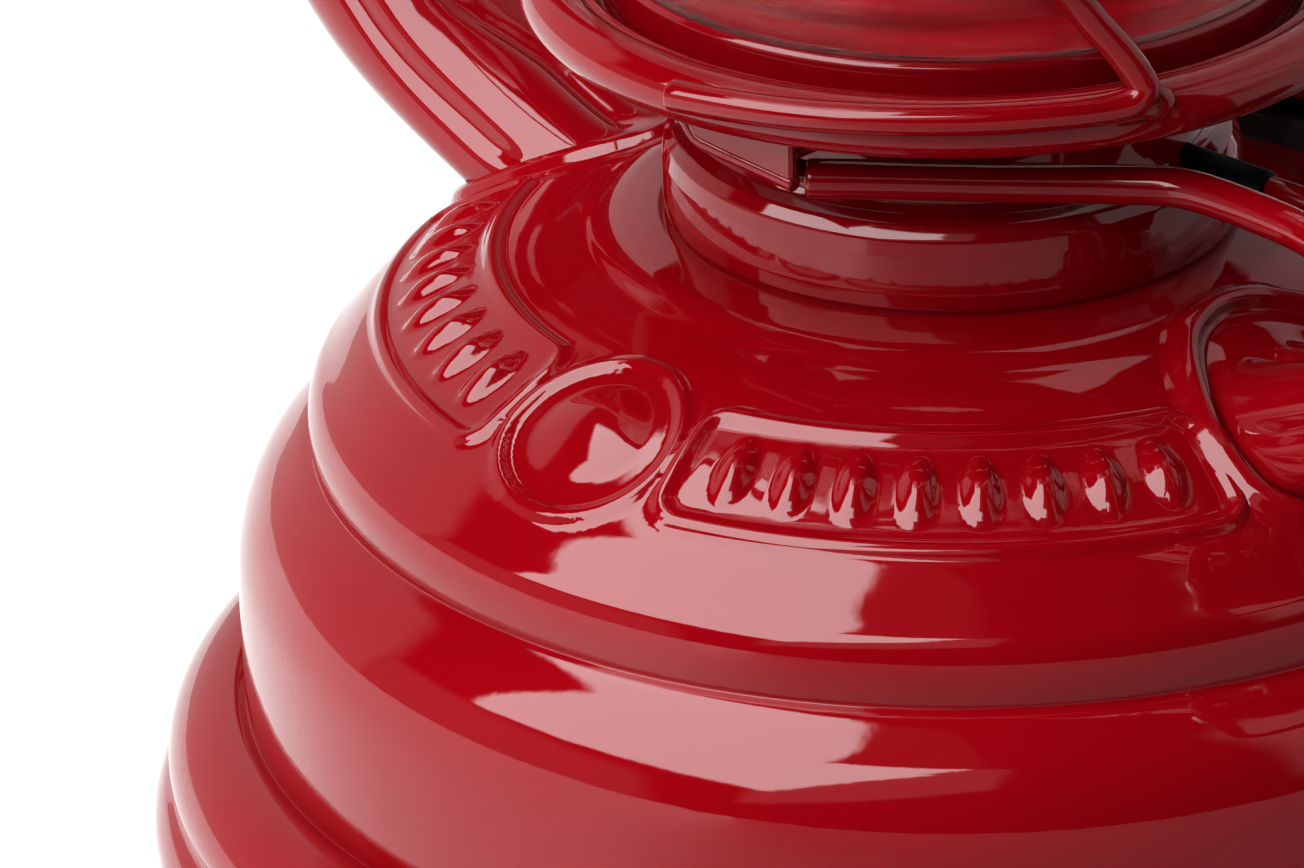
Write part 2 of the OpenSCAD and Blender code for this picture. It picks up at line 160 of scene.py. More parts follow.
def enamel(name, lo=(0.188, 0.0004, 0.0042), hi=(0.222, 0.0006, 0.0062), rough=(0.03, 0.055), peel=1.0):
    m, nt, b, co = material(name)
    nt.links.new(ramp(nt, noise(nt, co, 26, 3), [(0.3, lo), (0.7, hi)]), b.inputs["Base Color"])
    nt.links.new(remap(nt, noise(nt, co, 55, 4), 0.3, 0.7, rough[0], rough[1]), b.inputs["Roughness"])
    wave = bump(nt, noise(nt, co, 95, 1.5), 0.035 * peel, 0.001)
    fine = bump(nt, noise(nt, co, 520, 2), 0.02 * peel, 0.0004, wave)
    v = nt.nodes.new("ShaderNodeTexVoronoi")
    v.inputs["Scale"].default_value = 150
    nt.links.new(co, v.inputs["Vector"])
    sep = nt.nodes.new("ShaderNodeSeparateColor")
    nt.links.new(v.outputs["Color"], sep.inputs["Color"])
    speck = calc(nt, "MULTIPLY", remap(nt, v.outputs["Distance"], 0.0, 0.045, 1, 0, True),
                 remap(nt, sep.outputs[0], 0.86, 0.88, 0, 1))
    nt.links.new(bump(nt, speck, 0.35, 0.00012, fine), b.inputs["Normal"])
    b.inputs["IOR"].default_value = 1.5
    return m


def metal(name, lo, hi, rough, grain=420, scale=60, stretch=None, bumpy=0.05):
    m, nt, b, co = material(name)
    nt.links.new(ramp(nt, noise(nt, co, scale, 4, 0.6), [(0.32, lo), (0.68, hi)]), b.inputs["Base Color"])
    nt.links.new(remap(nt, noise(nt, co, scale * 1.7, 4, 0.6, stretch), 0.3, 0.7, rough[0], rough[1]), b.inputs["Roughness"])
    nt.links.new(bump(nt, noise(nt, co, grain, 3, 0.6, stretch), bumpy, 0.0004), b.inputs["Normal"])
    b.inputs["Metallic"].default_value = 1.0
    return m


RED = enamel("red_enamel")
# Red enamel that glows in its own colour, with horizontal streaks of stronger glow. This is painted light for the lit
# inner ring and the streaky refraction seen through the glass; the ring is no lamp.
RED_GLOWING_SEAT = enamel("red_enamel_glowing_seat")
nt = RED_GLOWING_SEAT.node_tree
b = nt.nodes["Principled BSDF"]
nt.links.new(b.inputs["Base Color"].links[0].from_socket, b.inputs["Emission Color"])
around = nt.nodes.new("ShaderNodeTexCoord").outputs["Object"]
nt.links.new(remap(nt, noise(nt, around, 40, 4, 0.6, (1.0, 1.0, 30.0)), 0.32, 0.68, 0.1, 1.25, True), b.inputs["Emission Strength"])
# Darker, rougher copy of the red enamel for inner surfaces. The darker colour is painted shade.
RED_SHADED_INSIDE = enamel("red_enamel_shaded_inside", lo=(0.165, 0.0003, 0.0032), hi=(0.195, 0.0005, 0.0050), rough=(0.06, 0.12))
ZINC = metal("zinc_plate", (0.56, 0.57, 0.59), (0.70, 0.71, 0.72), (0.2, 0.34))
SPRING = metal("spring_steel", (0.42, 0.42, 0.43), (0.6, 0.6, 0.61), (0.22, 0.36), scale=140)
# Near-black metal for the filler neck: painted shade, because the neck is dark only where it sits in shadow under the
# cap.
NECK_PAINTED_SHADE = metal("neck_painted_shade_metal", (0.045, 0.04, 0.04), (0.085, 0.075, 0.072), (0.32, 0.5))
BRASS = metal("burner_brass", (0.55, 0.36, 0.14), (0.78, 0.56, 0.24), (0.2, 0.4), scale=90)

BLACK, nt, b, co = material("black_steel")
nt.links.new(ramp(nt, noise(nt, co, 120, 3), [(0.3, (0.002, 0.002, 0.0022)), (0.7, (0.005, 0.005, 0.0055))]), b.inputs["Base Color"])
nt.links.new(remap(nt, noise(nt, co, 160, 4), 0.3, 0.7, 0.24, 0.42), b.inputs["Roughness"])
nt.links.new(bump(nt, noise(nt, co, 900, 3), 0.08, 0.0003), b.inputs["Normal"])
b.inputs["Specular IOR Level"].default_value = 0.1

RUBBER, nt, b, co = material("gasket_rubber")
nt.links.new(ramp(nt, noise(nt, co, 220, 4), [(0.3, (0.012, 0.012, 0.012)), (0.7, (0.03, 0.029, 0.028))]), b.inputs["Base Color"])
nt.links.new(remap(nt, noise(nt, co, 300, 3), 0.3, 0.7, 0.6, 0.85), b.inputs["Roughness"])
nt.links.new(bump(nt, noise(nt, co, 1400, 3), 0.15, 0.0002), b.inputs["Normal"])

COTTON, nt, b, co = material("wick_cotton")
weave = []
for axis in ("X", "Z"):
    w = nt.nodes.new("ShaderNodeTexWave")
    w.bands_direction = axis
    w.inputs["Scale"].default_value = 420
    w.inputs["Distortion"].default_value = 1.2
    nt.links.new(co, w.inputs["Vector"])
    weave.append(w.outputs["Fac"])
both = calc(nt, "MULTIPLY", weave[0], weave[1])
nt.links.new(ramp(nt, both, [(0.0, (0.52, 0.47, 0.36)), (0.7, (0.82, 0.78, 0.68))]), b.inputs["Base Color"])
nt.links.new(bump(nt, both, 0.6, 0.0004), b.inputs["Normal"])
nt.links.new(remap(nt, noise(nt, co, 300, 3), 0.3, 0.7, 0.8, 0.95), b.inputs["Roughness"])

GLASS, nt, b, co = material("globe_glass")
nt.links.new(ramp(nt, noise(nt, co, 40, 2), [(0.3, (0.955, 0.98, 0.972)), (0.7, (0.985, 0.995, 0.99))]), b.inputs["Base Color"])
b.inputs["Transmission Weight"].default_value = 1.0
b.inputs["IOR"].default_value = 1.33
nt.links.new(remap(nt, noise(nt, co, 70, 3), 0.3, 0.7, 0.0, 0.012), b.inputs["Roughness"])
rings = noise(nt, co, 30, 2, 0.5, (1.0, 1.0, 7.0))
wavy = bump(nt, rings, 0.06, 0.002)
xyz = nt.nodes.new("ShaderNodeSeparateXYZ")
nt.links.new(co, xyz.inputs[0])
near_foot = remap(nt, xyz.outputs[2], 0.078, 0.092, 1.0, 0.06, True)
drawn = calc(nt, "MULTIPLY", noise(nt, co, 42, 5, 0.62, (1.0, 1.0, 36.0)), near_foot)
nt.links.new(bump(nt, drawn, 0.32, 0.0009, wavy), b.inputs["Normal"])


# ---------------------------------------------------------------- mesh help
def mesh_object(name, verts, faces, mat, sharp=38):
    me = bpy.data.meshes.new(name)
    me.from_pydata((np.asarray(verts, float) * MM).tolist(), [], faces if isinstance(faces, list) else faces.tolist())
    bm = bmesh.new()
    bm.from_mesh(me)
    bmesh.ops.remove_doubles(bm, verts=bm.verts, dist=2e-7)
    bmesh.ops.dissolve_degenerate(bm, edges=bm.edges, dist=1e-8)
    bmesh.ops.recalc_face_normals(bm, faces=bm.faces)
    bm.to_mesh(me)
    bm.free()
    me.shade_smooth()
    me.set_sharp_from_angle(angle=math.radians(sharp))
    me.materials.append(mat)
    ob = bpy.data.objects.new(name, me)
    scene.collection.objects.link(ob)
    return ob


def piece(ob, body, nodes=()):
    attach(ob, body)
    if nodes:
        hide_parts(*nodes)
    return ob


def rounded(pts, closed=True, n=5):
    """Corner rounding of a polyline of (x, y) or (x, y, radius)."""
    out, count = [], len(pts)
    for i, p in enumerate(pts):
        c = np.array(p[:2], float)
        r = p[2] if len(p) > 2 else 0
        if r <= 0 or (not closed and i in (0, count - 1)):
            out.append(c)
            continue
        u = np.array(pts[i - 1][:2], float) - c
        v = np.array(pts[(i + 1) % count][:2], float) - c
        lu, lv = np.linalg.norm(u), np.linalg.norm(v)
        u, v = u / lu, v / lv
        ang = math.acos(max(-1, min(1, float(u @ v))))
        if ang > 3.1 or ang < 0.02:
            out.append(c)
            continue
        t = min(r / math.tan(ang / 2), 0.49 * lu, 0.49 * lv)
        rr = t * math.tan(ang / 2)
        bis = (u + v) / np.linalg.norm(u + v)
        mid = c + bis * rr / math.sin(ang / 2)
        a0, a1 = c + u * t - mid, c + v * t - mid
        t0, t1 = math.atan2(a0[1], a0[0]), math.atan2(a1[1], a1[0])
        d = (t1 - t0 + PI) % (2 * PI) - PI
        for k in range(n + 1):
            th = t0 + d * k / n
            out.append(mid + rr * np.array([math.cos(th), math.sin(th)]))
    return np.array(out)


def spline(pts, k=8, closed=False):
    """Centripetal smooth curve through points."""
    P = np.asarray(pts, float)
    n = len(P)
    res = []
    for i in range(n if closed else n - 1):
        if closed:
            q = [P[(i + j) % n] for j in (-1, 0, 1, 2)]
        else:
            q = [P[max(i - 1, 0)], P[i], P[i + 1], P[min(i + 2, n - 1)]]
            if i == 0:
                q[0] = 2 * P[0] - P[1]
            if i == n - 2:
                q[3] = 2 * P[n - 1] - P[n - 2]
        t = [0.0]
        for j in range(3):
            t.append(t[-1] + max(np.linalg.norm(q[j + 1] - q[j]), 1e-9) ** 0.5)
        for s in range(k):
            x = t[1] + (t[2] - t[1]) * s / k
            a1 = (t[1] - x) / (t[1] - t[0]) * q[0] + (x - t[0]) / (t[1] - t[0]) * q[1]
            a2 = (t[2] - x) / (t[2] - t[1]) * q[1] + (x - t[1]) / (t[2] - t[1]) * q[2]
            a3 = (t[3] - x) / (t[3] - t[2]) * q[2] + (x - t[2]) / (t[3] - t[2]) * q[3]
            b1 = (t[2] - x) / (t[2] - t[0]) * a1 + (x - t[0]) / (t[2] - t[0]) * a2
            b2 = (t[3] - x) / (t[3] - t[1]) * a2 + (x - t[1]) / (t[3] - t[1]) * a3
            res.append((t[2] - x) / (t[2] - t[1]) * b1 + (x - t[1]) / (t[2] - t[1]) * b2)
    if not closed:
        res.append(P[-1])
    return np.array(res)


def thin(poly, eps):
    """Drops the points of a dense polyline that lie within eps of a chord."""
    keep = [0, len(poly) - 1]
    stack = [(0, len(poly) - 1)]
    while stack:
        a, b_ = stack.pop()
        if b_ - a < 2:
            continue
        u = poly[b_] - poly[a]
        L = np.linalg.norm(u) + 1e-12
        w = poly[a + 1:b_] - poly[a]
        d = np.abs(w[:, 0] * u[1] - w[:, 1] * u[0]) / L
        k = int(d.argmax())
        if d[k] > eps:
            m = a + 1 + k
            keep.append(m)
            stack += [(a, m), (m, b_)]
    return poly[sorted(keep)]


def limit_gap(poly, gap):
    out = [poly[0]]
    for p in poly[1:]:
        L = np.linalg.norm(p - out[-1])
        m = max(1, int(math.ceil(L / gap)))
        a = out[-1]
        for k in range(1, m + 1):
            out.append(a + (p - a) * k / m)
    return np.array(out)


def grid_faces(m, n, wrap_m=True, wrap_n=True):
    i = np.arange(m if wrap_m else m - 1)[:, None]
    j = np.arange(n if wrap_n else n - 1)[None, :]
    i2, j2 = (i + 1) % m, (j + 1) % n
    return np.stack([i * n + j, i * n + j2, i2 * n + j2, i2 * n + j], -1).reshape(-1, 4)


def circle_az(n):
    return np.linspace(0, 2 * PI, n, endpoint=False)


def revolve_verts(loop, az):
    loop = np.asarray(loop, float)
    return np.stack([loop[:, 0][:, None] * np.cos(az), loop[:, 0][:, None] * np.sin(az),
                     loop[:, 1][:, None] + 0 * az], -1).reshape(-1, 3)


def revolve(name, loop, mat, seg=160, sharp=38):
    return mesh_object(name, revolve_verts(loop, circle_az(seg)), grid_faces(len(loop), seg), mat, sharp)


def path_frames(P, closed=False, up=(0.3, 0.2, 1.0)):
    P = np.asarray(P, float)
    if closed:
        T = np.roll(P, -1, 0) - np.roll(P, 1, 0)
    else:
        T = np.gradient(P, axis=0)
    T /= np.linalg.norm(T, axis=1, keepdims=True)
    N = np.zeros_like(P)
    n = np.array(up, float)
    for i in range(len(P)):
        n = n - (n @ T[i]) * T[i]
        n /= np.linalg.norm(n)
        N[i] = n
    return T, N, np.cross(T, N)


def tube_arrays(P, r, sides=18, ends="round", closed=False, up=(0.3, 0.2, 1.0), squash=None):
    """Round wire along a path. ends: round, cut (flat with a small edge radius)."""
    P = np.asarray(P, float)
    rad = np.full(len(P), float(r)) if np.isscalar(r) else np.asarray(r, float)
    if not closed:
        t0 = (P[0] - P[1]) / np.linalg.norm(P[0] - P[1])
        t1 = (P[-1] - P[-2]) / np.linalg.norm(P[-1] - P[-2])
        steps = [(math.sin(a), math.cos(a)) for a in np.linspace(PI / 2, 0, 6)[:-1]]
        e0, e1 = (ends, ends) if isinstance(ends, str) else ends
        cut = [(0.28, 0.0), (0.28, 0.6), (0.22, 0.85), (0.12, 0.96)]
        s0 = steps if e0 == "round" else cut
        s1 = steps if e1 == "round" else cut
        pre = [(P[0] + t0 * rad[0] * a, rad[0] * max(c, 1e-4)) for a, c in s0]
        post = [(P[-1] + t1 * rad[-1] * a, rad[-1] * max(c, 1e-4)) for a, c in reversed(s1)]
        T, N, B = path_frames(P, False, up)
        T = np.vstack([np.repeat(T[:1], len(pre), 0), T, np.repeat(T[-1:], len(post), 0)])
        N = np.vstack([np.repeat(N[:1], len(pre), 0), N, np.repeat(N[-1:], len(post), 0)])
        B = np.vstack([np.repeat(B[:1], len(pre), 0), B, np.repeat(B[-1:], len(post), 0)])
        P = np.vstack([[p for p, _ in pre], P, [p for p, _ in post]])
        rad = np.concatenate([[x for _, x in pre], rad, [x for _, x in post]])
    else:
        T, N, B = path_frames(P, True, up)
    th = circle_az(sides)
    V = P[:, None, :] + rad[:, None, None] * (np.cos(th)[None, :, None] * N[:, None, :] + np.sin(th)[None, :, None] * B[:, None, :])
    F = grid_faces(len(P), sides, wrap_m=closed).tolist()
    if not closed:
        F.append(list(range(sides))[::-1])
        F.append([(len(P) - 1) * sides + k for k in range(sides)])
    return V.reshape(-1, 3), F


def join(*parts):
    V, F, n = [], [], 0
    for v, f in parts:
        V.append(np.asarray(v, float))
        F += [[int(i) + n for i in q] for q in f]
        n += len(v)
    return np.vstack(V), F


def ball(c, r, seg=20, rings=10):
    th = np.linspace(0, PI, rings + 1)
    loop = np.stack([np.sin(th), np.cos(th)], -1)
    v = revolve_verts(loop, circle_az(seg)) * np.asarray(r, float) + np.asarray(c, float)
    return v, grid_faces(rings + 1, seg, wrap_m=False).tolist()


def turned(loop, seg, origin, axis, start=0.0):
    """Closed loop (r, h) turned about an axis through origin."""
    a = np.array(axis, float) / np.linalg.norm(axis)
    u = np.cross(a, [0.0, 0.0, 1.0]) if abs(a[2]) < 0.9 else np.cross(a, [1.0, 0, 0])
    u /= np.linalg.norm(u)
    w = np.cross(a, u)
    loop = np.asarray(loop, float)
    az = circle_az(seg) + start
    V = (np.asarray(origin, float) + loop[:, 1][:, None, None] * a
         + loop[:, 0][:, None, None] * (np.cos(az)[None, :, None] * u + np.sin(az)[None, :, None] * w))
    return V.reshape(-1, 3), grid_faces(len(loop), seg).tolist()


def smoothstep(x):
    x = np.clip(x, 0, 1)
    return x * x * (3 - 2 * x)


# ---------------------------------------------------------------- tank
TANK = [(57.6, 0), (58.2, 2), (58.5, 4.4), (58.4, 6), (57.8, 7.3), (57.0, 8.2), (56.8, 8.9), (57.25, 9.9), (57.1, 11.4), (56.3, 12.9),
        (55.0, 14.1), (53.5, 14.8), (52.3, 15.0), (51.5, 14.9), (51.5, 15.8), (51.6, 18), (51.65, 24.9), (51.4, 27.4), (50.7, 29.7),
        (49.45, 31.85), (47.4, 33.8), (46.6, 34.3), (46.1, 34.55), (46.2, 35.4), (46.25, 37.15), (46.1, 38.0), (45.66, 39.15), (44.77, 40.2),
        (42.3, 42.8), (37.4, 46.1), (32.4, 48.55), (27.7, 50.15), (26.4, 50.55), (25.4, 51.05), (24.3, 51.45), (22.9, 51.68), (20.6, 52)]
fine = spline(TANK, 40)
top_start = int(np.argmin(np.abs(fine[:, 1] - 37.2)))
lower = limit_gap(thin(fine[:top_start + 1], 0.006), 1.6)
dome = fine[top_start:]
arc = np.concatenate([[0], np.cumsum(np.linalg.norm(np.diff(dome, axis=0), axis=1))])


def dome_z(r):
    r = np.asarray(r, float)
    return np.where(r > 46.24, 37.2 - (r - 46.24) * 4, np.interp(r, dome[::-1, 0], dome[::-1, 1]))


s_ref = float(np.interp(-37.0, -dome[:, 0], arc))
s_all = [0.0]
while s_all[-1] < arc[-1] - 0.2:
    s_all.append(s_all[-1] + (0.4 if abs(s_all[-1] - s_ref) < 8 else 0.45))
s_all[-1] = arc[-1]
s_all = np.array(s_all)
dome_rows = np.stack([np.interp(s_all, arc, dome[:, 0]), np.interp(s_all, arc, dome[:, 1])], -1)
outer = np.vstack([lower[:-1], dome_rows])
d_az = np.concatenate([np.arange(-172, -8, 0.45), np.arange(-8, 188, 1.5)])
t_az = np.radians(d_az)


def panel(u, v, U, H, rc=2.2):
    qx, qy = np.abs(u) - (U - rc), np.abs(v) - (H - rc)
    d = np.hypot(np.maximum(qx, 0), np.maximum(qy, 0)) + np.minimum(np.maximum(qx, qy), 0) - rc
    h = 0.62 * np.exp(-((d + 0.2) / 0.62) ** 2) + 0.12 * smoothstep(-d / 1.2)
    for k in range(8):
        e = ((u - (k - 3.5) * 4.25) / 1.45) ** 2 + (v / 3.0) ** 2
        h = np.maximum(h, 0.12 + 0.85 * np.clip(1 - e, 0, 1) ** 1.15)
    return h


def relief(az, s):
    v = s - s_ref
    h = np.zeros(np.broadcast(az, s).shape)
    for c in (-47.5, -130.5):
        h = np.maximum(h, panel(np.radians(az - c) * 37.0, v, 19.3, 4.9))
    d = np.hypot(np.radians(az + 89) * 37.0, v)
    h = np.maximum(h, 0.55 * np.exp(-((d - 6.8) / 0.66) ** 2) + 0.8 * np.clip(1 - (d / 5.0) ** 2, 0, 1) ** 1.2)
    return h


rz = outer
tan = np.gradient(rz, axis=0)
nrm = np.stack([tan[:, 1], -tan[:, 0]], -1)
nrm /= np.linalg.norm(nrm, axis=1, keepdims=True)
s_row = np.concatenate([np.full(len(lower) - 1, -99.0), s_all])
bumpy = relief(d_az[None, :], s_row[:, None])
R = rz[:, 0][:, None] + nrm[:, 0][:, None] * bumpy
Z = rz[:, 1][:, None] + nrm[:, 1][:, None] * bumpy
out_v = np.stack([R * np.cos(t_az), R * np.sin(t_az), Z], -1)
inner = np.array([(19.5, 51.9), (19.5, 51.2), (23, 50.9), (24.9, 50.4), (25.6, 49.7), (27.5, 49.2), (32.1, 47.6), (36.9, 45.2), (41.6, 42.0), (44.0, 39.6),
                  (45.2, 37.8), (45.3, 34.4), (46.9, 32.9), (48.6, 31.0), (49.8, 29.0), (50.75, 24.9), (50.7, 14.6), (52.2, 14.1), (54.5, 13.3), (56.3, 11.2),
                  (56.35, 10.2), (55.9, 9.1), (57.0, 6.9), (57.4, 5.8), (57.4, 3), (56.7, 1.4), (55.4, 1.0), (55.2, 0.4), (55.6, 0.0)])
in_v = revolve_verts(inner, t_az).reshape(len(inner), len(t_az), 3)
tank_v = np.concatenate([out_v, in_v]).reshape(-1, 3)
tank = mesh_object("tank_shell_skin", tank_v, grid_faces(len(outer) + len(inner), len(t_az)), RED, 60)
piece(tank, "frame", ["tank_shell"])

# ---------------------------------------------------------------- burner collar
collar = rounded([(17.9, 47.2, 0.2), (19.2, 47.2, 0.2), (19.25, 51.75, 0.1), (20.15, 51.75, 0.2), (20.5, 52.5, 0.6), (20.65, 53.6, 1.2), (20.65, 56.4, 1.2), (20.45, 57.6, 0.9),
                  (19.85, 58.5, 0.7), (18.8, 59.0, 0.5), (18.45, 59.6, 0.45), (18.5, 60.6, 0.8), (18.5, 64.5, 0.3), (18.2, 65.0, 0.25), (17.9, 64.8, 0.2)], n=6)
piece(revolve("burner_collar_skin", collar, RED, 200), "frame", ["burner_collar"])

# ---------------------------------------------------------------- side tubes
sec_n = 236


def tube_section():
    """Flat-sided tube: offsets, outward normals and the distance from the middle of the inner face, around the section."""
    total = 14.0 + 2 * PI * 6.5
    q = (np.arange(sec_n) + 0.5) / sec_n * total
    s = np.minimum(q, total - q)
    th = np.clip((s - 3.5) / 6.5, 0, PI)
    a = -6.5 * np.cos(th)
    y = np.minimum(s, 3.5) + 6.5 * np.sin(th) - np.maximum(s - 3.5 - 6.5 * PI, 0)
    side = np.where(q < total / 2, 1.0, -1.0)
    return a, y * side, -np.cos(th), np.sin(th) * side, s


sa, sb, sna, snb, s_at = tube_section()


def groove(m, phi):
    """Depth of the two pressed grooves beside the tube's broad panel."""
    deg = np.degrees(phi)
    g1 = 5.4 - 3.4 * smoothstep((-50 - deg) / 15.0)
    g2 = 11.6 - 0.9 * smoothstep((-50 - deg) / 16.0)
    return -0.62 * np.exp(-((s_at[m] - g1) / 0.95) ** 2) - 0.6 * np.exp(-((s_at[m] - g2) / 0.95) ** 2)


def slim(m, phi):
    """The tube flattens on its outer side towards the foot."""
    w = smoothstep((-44 - np.degrees(phi)) / 22.0)
    return np.where(sa[m] > 0, 1 - 0.45 * w, 1.0)


def tongue(x, y):
    """Height of the drawn-out foot over the dome."""
    q = (37.0 - np.asarray(x)) / 11.2
    return 1.35 * (1 - np.clip(q, 0, 9) ** 2 - (y / 8.7) ** 2)


def smax(a, b_, k=0.7):
    h = np.clip(0.5 + 0.5 * (a - b_) / k, 0, 1)
    return b_ * (1 - h) + a * h + k * h * (1 - h)


def low_point(m, phi, g):
    """Point of section line m on the lower bend at angle phi (radians, 0 = upright), grooves scaled by g."""
    d = groove(m, phi) * g
    a = sa[m] * slim(m, phi) + sna[m] * d
    y = sb[m] + snb[m] * d
    Rm = 49.0 + a
    x = 19.5 + Rm * np.cos(phi)
    z = 91.0 + Rm * np.sin(phi)
    if sa[m] < 1.0:
        w = smoothstep((1.0 - sa[m]) / 3.0)
        lift = dome_z(np.hypot(x, y)) + tongue(x, y)
        z = z + w * (smax(z, lift) - z)
    return x, y + 0 * x, z


hits = []
scan = np.radians(np.linspace(-40, -86, 700))
for m in range(sec_n):
    x, y, z = low_point(m, scan, 0.0)
    over = z - dome_z(np.hypot(x, y))
    neg = np.nonzero(over < 0)[0]
    hits.append(scan[neg[0]] if len(neg) else scan[-1])
hits = np.array(hits)
hits = (np.roll(hits, 1) + 2 * hits + np.roll(hits, -1)) / 4


def side_tube(sign):
    rows = []
    fade = lambda t: smoothstep((t - 0.005) / 0.07)
    for t in np.concatenate([np.linspace(0, 0.3, 26)[:-1], np.linspace(0.3, 1, 22)]):
        row = []
        for m in range(sec_n):
            x, y, z = low_point(m, np.array(hits[m] * (1 - t)), float(fade(t)))
            row.append((float(x), float(y), float(z)))
        rows.append(row)
    d0 = np.array([float(groove(m, np.array(0.0))) for m in range(sec_n)])
    a = sa + sna * d0
    y = sb + snb * d0
    for z in (106, 121, 136.5, 152, 167, 182):
        rows.append([(68.5 + a[m], y[m], z) for m in range(sec_n)])
    for ph in np.radians(np.linspace(0, 90, 26)[1:]):
        rows.append([(28.5 + (40 + a[m]) * math.cos(ph), y[m], 182 + (40 + a[m]) * math.sin(ph)) for m in range(sec_n)])
    rows.append([(25.5, y[m], 222 + a[m]) for m in range(sec_n)])
    start = [(p[0] - 0.5 * 0, p[1], p[2] - 0.9) for p in rows[0]]
    rows.insert(0, start)
    V = np.array(rows)
    F = grid_faces(len(rows), sec_n, wrap_m=False).tolist()
    F.append(list(range(sec_n)))
    F.append([(len(rows) - 1) * sec_n + k for k in range(sec_n)][::-1])
    body = (V.reshape(-1, 3), F)
    # raised lip on the dome around the foot
    ring = V[1].copy()
    ring[:, 2] = dome_z(np.hypot(ring[:, 0], ring[:, 1]))
    for _ in range(6):
        ring = (np.roll(ring, 1, 0) + 2 * ring + np.roll(ring, -1, 0)) / 4
    seg = np.linalg.norm(np.roll(ring, -1, 0) - ring, axis=1)
    run = np.concatenate([[0], np.cumsum(seg)])
    count = 170
    at = np.linspace(0, run[-1], count, endpoint=False)
    ring = np.stack([np.interp(at, run, np.append(ring[:, k], ring[0, k])) for k in range(3)], -1)
    tng = np.roll(ring, -1, 0) - np.roll(ring, 1, 0)
    tng /= np.linalg.norm(tng, axis=1, keepdims=True)
    rr = np.hypot(ring[:, 0], ring[:, 1])
    slope = (dome_z(rr + 0.4) - dome_z(rr - 0.4)) / 0.8
    up = np.stack([-slope * ring[:, 0] / rr, -slope * ring[:, 1] / rr, np.ones_like(rr)], -1)
    up /= np.linalg.norm(up, axis=1, keepdims=True)
    side = np.cross(tng, up)
    mid = ring.mean(0)
    side *= np.sign(((ring - mid) * side).sum(1).mean())
    prof = rounded([(-0.5, -1.2), (-0.35, 0.1, 0.3), (0.05, 0.25, 0.25), (0.35, 1.0, 0.35), (0.95, 1.25, 0.5), (1.6, 1.0, 0.8), (2.3, 0.3, 1.0), (3.3, 0.02, 0.8), (3.6, -1.2)], n=4)
    L = ring[:, None, :] + prof[None, :, :1] * side[:, None, :] + 0 * up[:, None, :]
    base_z = dome_z(np.hypot(L[:, :, 0], L[:, :, 1]))
    L[:, :, 2] = base_z
    L = L + prof[None, :, 1:] * up[:, None, :]
    lip = (L.reshape(-1, 3), grid_faces(count, len(prof)).tolist())
    # collar where the tube enters the top chamber
    th = np.linspace(0, 1, 96, endpoint=False)
    ys, zs = [], []
    per = 2 * 7.0 + 2 * PI * 6.9
    for q in th * per:
        if q < 7:
            ys.append(-3.5 + q); zs.append(-6.9)
        elif q < 7 + PI * 6.9:
            g = (q - 7) / 6.9
            ys.append(3.5 + 6.9 * math.sin(g)); zs.append(-6.9 * math.cos(g))
        elif q < 14 + PI * 6.9:
            ys.append(3.5 - (q - 7 - PI * 6.9)); zs.append(6.9)
        else:
            g = (q - 14 - PI * 6.9) / 6.9
            ys.append(-3.5 - 6.9 * math.sin(g)); zs.append(6.9 * math.cos(g))
    ys, zs = np.array(ys), np.array(zs)
    flange = tube_arrays(np.stack([np.sqrt(33.0 ** 2 - ys ** 2) + 0.1, ys, 222 + zs], -1), 1.15, 12, closed=True, up=(1, 0, 0))
    v, f = join(body, lip, flange)
    v[:, 0] *= sign
    name = "side_tube_right_skin" if sign > 0 else "side_tube_left_skin"
    ob = mesh_object(name, v, f, RED, 50)
    piece(ob, "frame", ["side_tube_right" if sign > 0 else "side_tube_left"])


side_tube(1)
side_tube(-1)

# ---------------------------------------------------------------- top chamber
chamber = rounded([(32.2, 210.2, 0.2), (33.4, 210.0, 0.3), (33.7, 210.9, 0.5), (33.0, 212.0, 0.5), (33.0, 226.4, 0.5), (33.5, 227.2, 0.5), (33.4, 228.4, 0.6), (32.6, 229.6, 0.7),
                   (30.9, 231.2, 1.0), (26.5, 232.9, 3), (22.0, 234.2, 1.0), (21.2, 235.2, 0.4), (20.3, 235.4, 0.3), (19.5, 235.0, 0.3), (19.5, 213.2, 0.2), (20.2, 213.2, 0.2),
                   (20.2, 233.6, 0.3), (31.0, 230.4, 0.8), (32.2, 228.6, 0.5)], n=5)
piece(revolve("top_chamber_skin", chamber, RED, 180), "frame", ["top_chamber"])


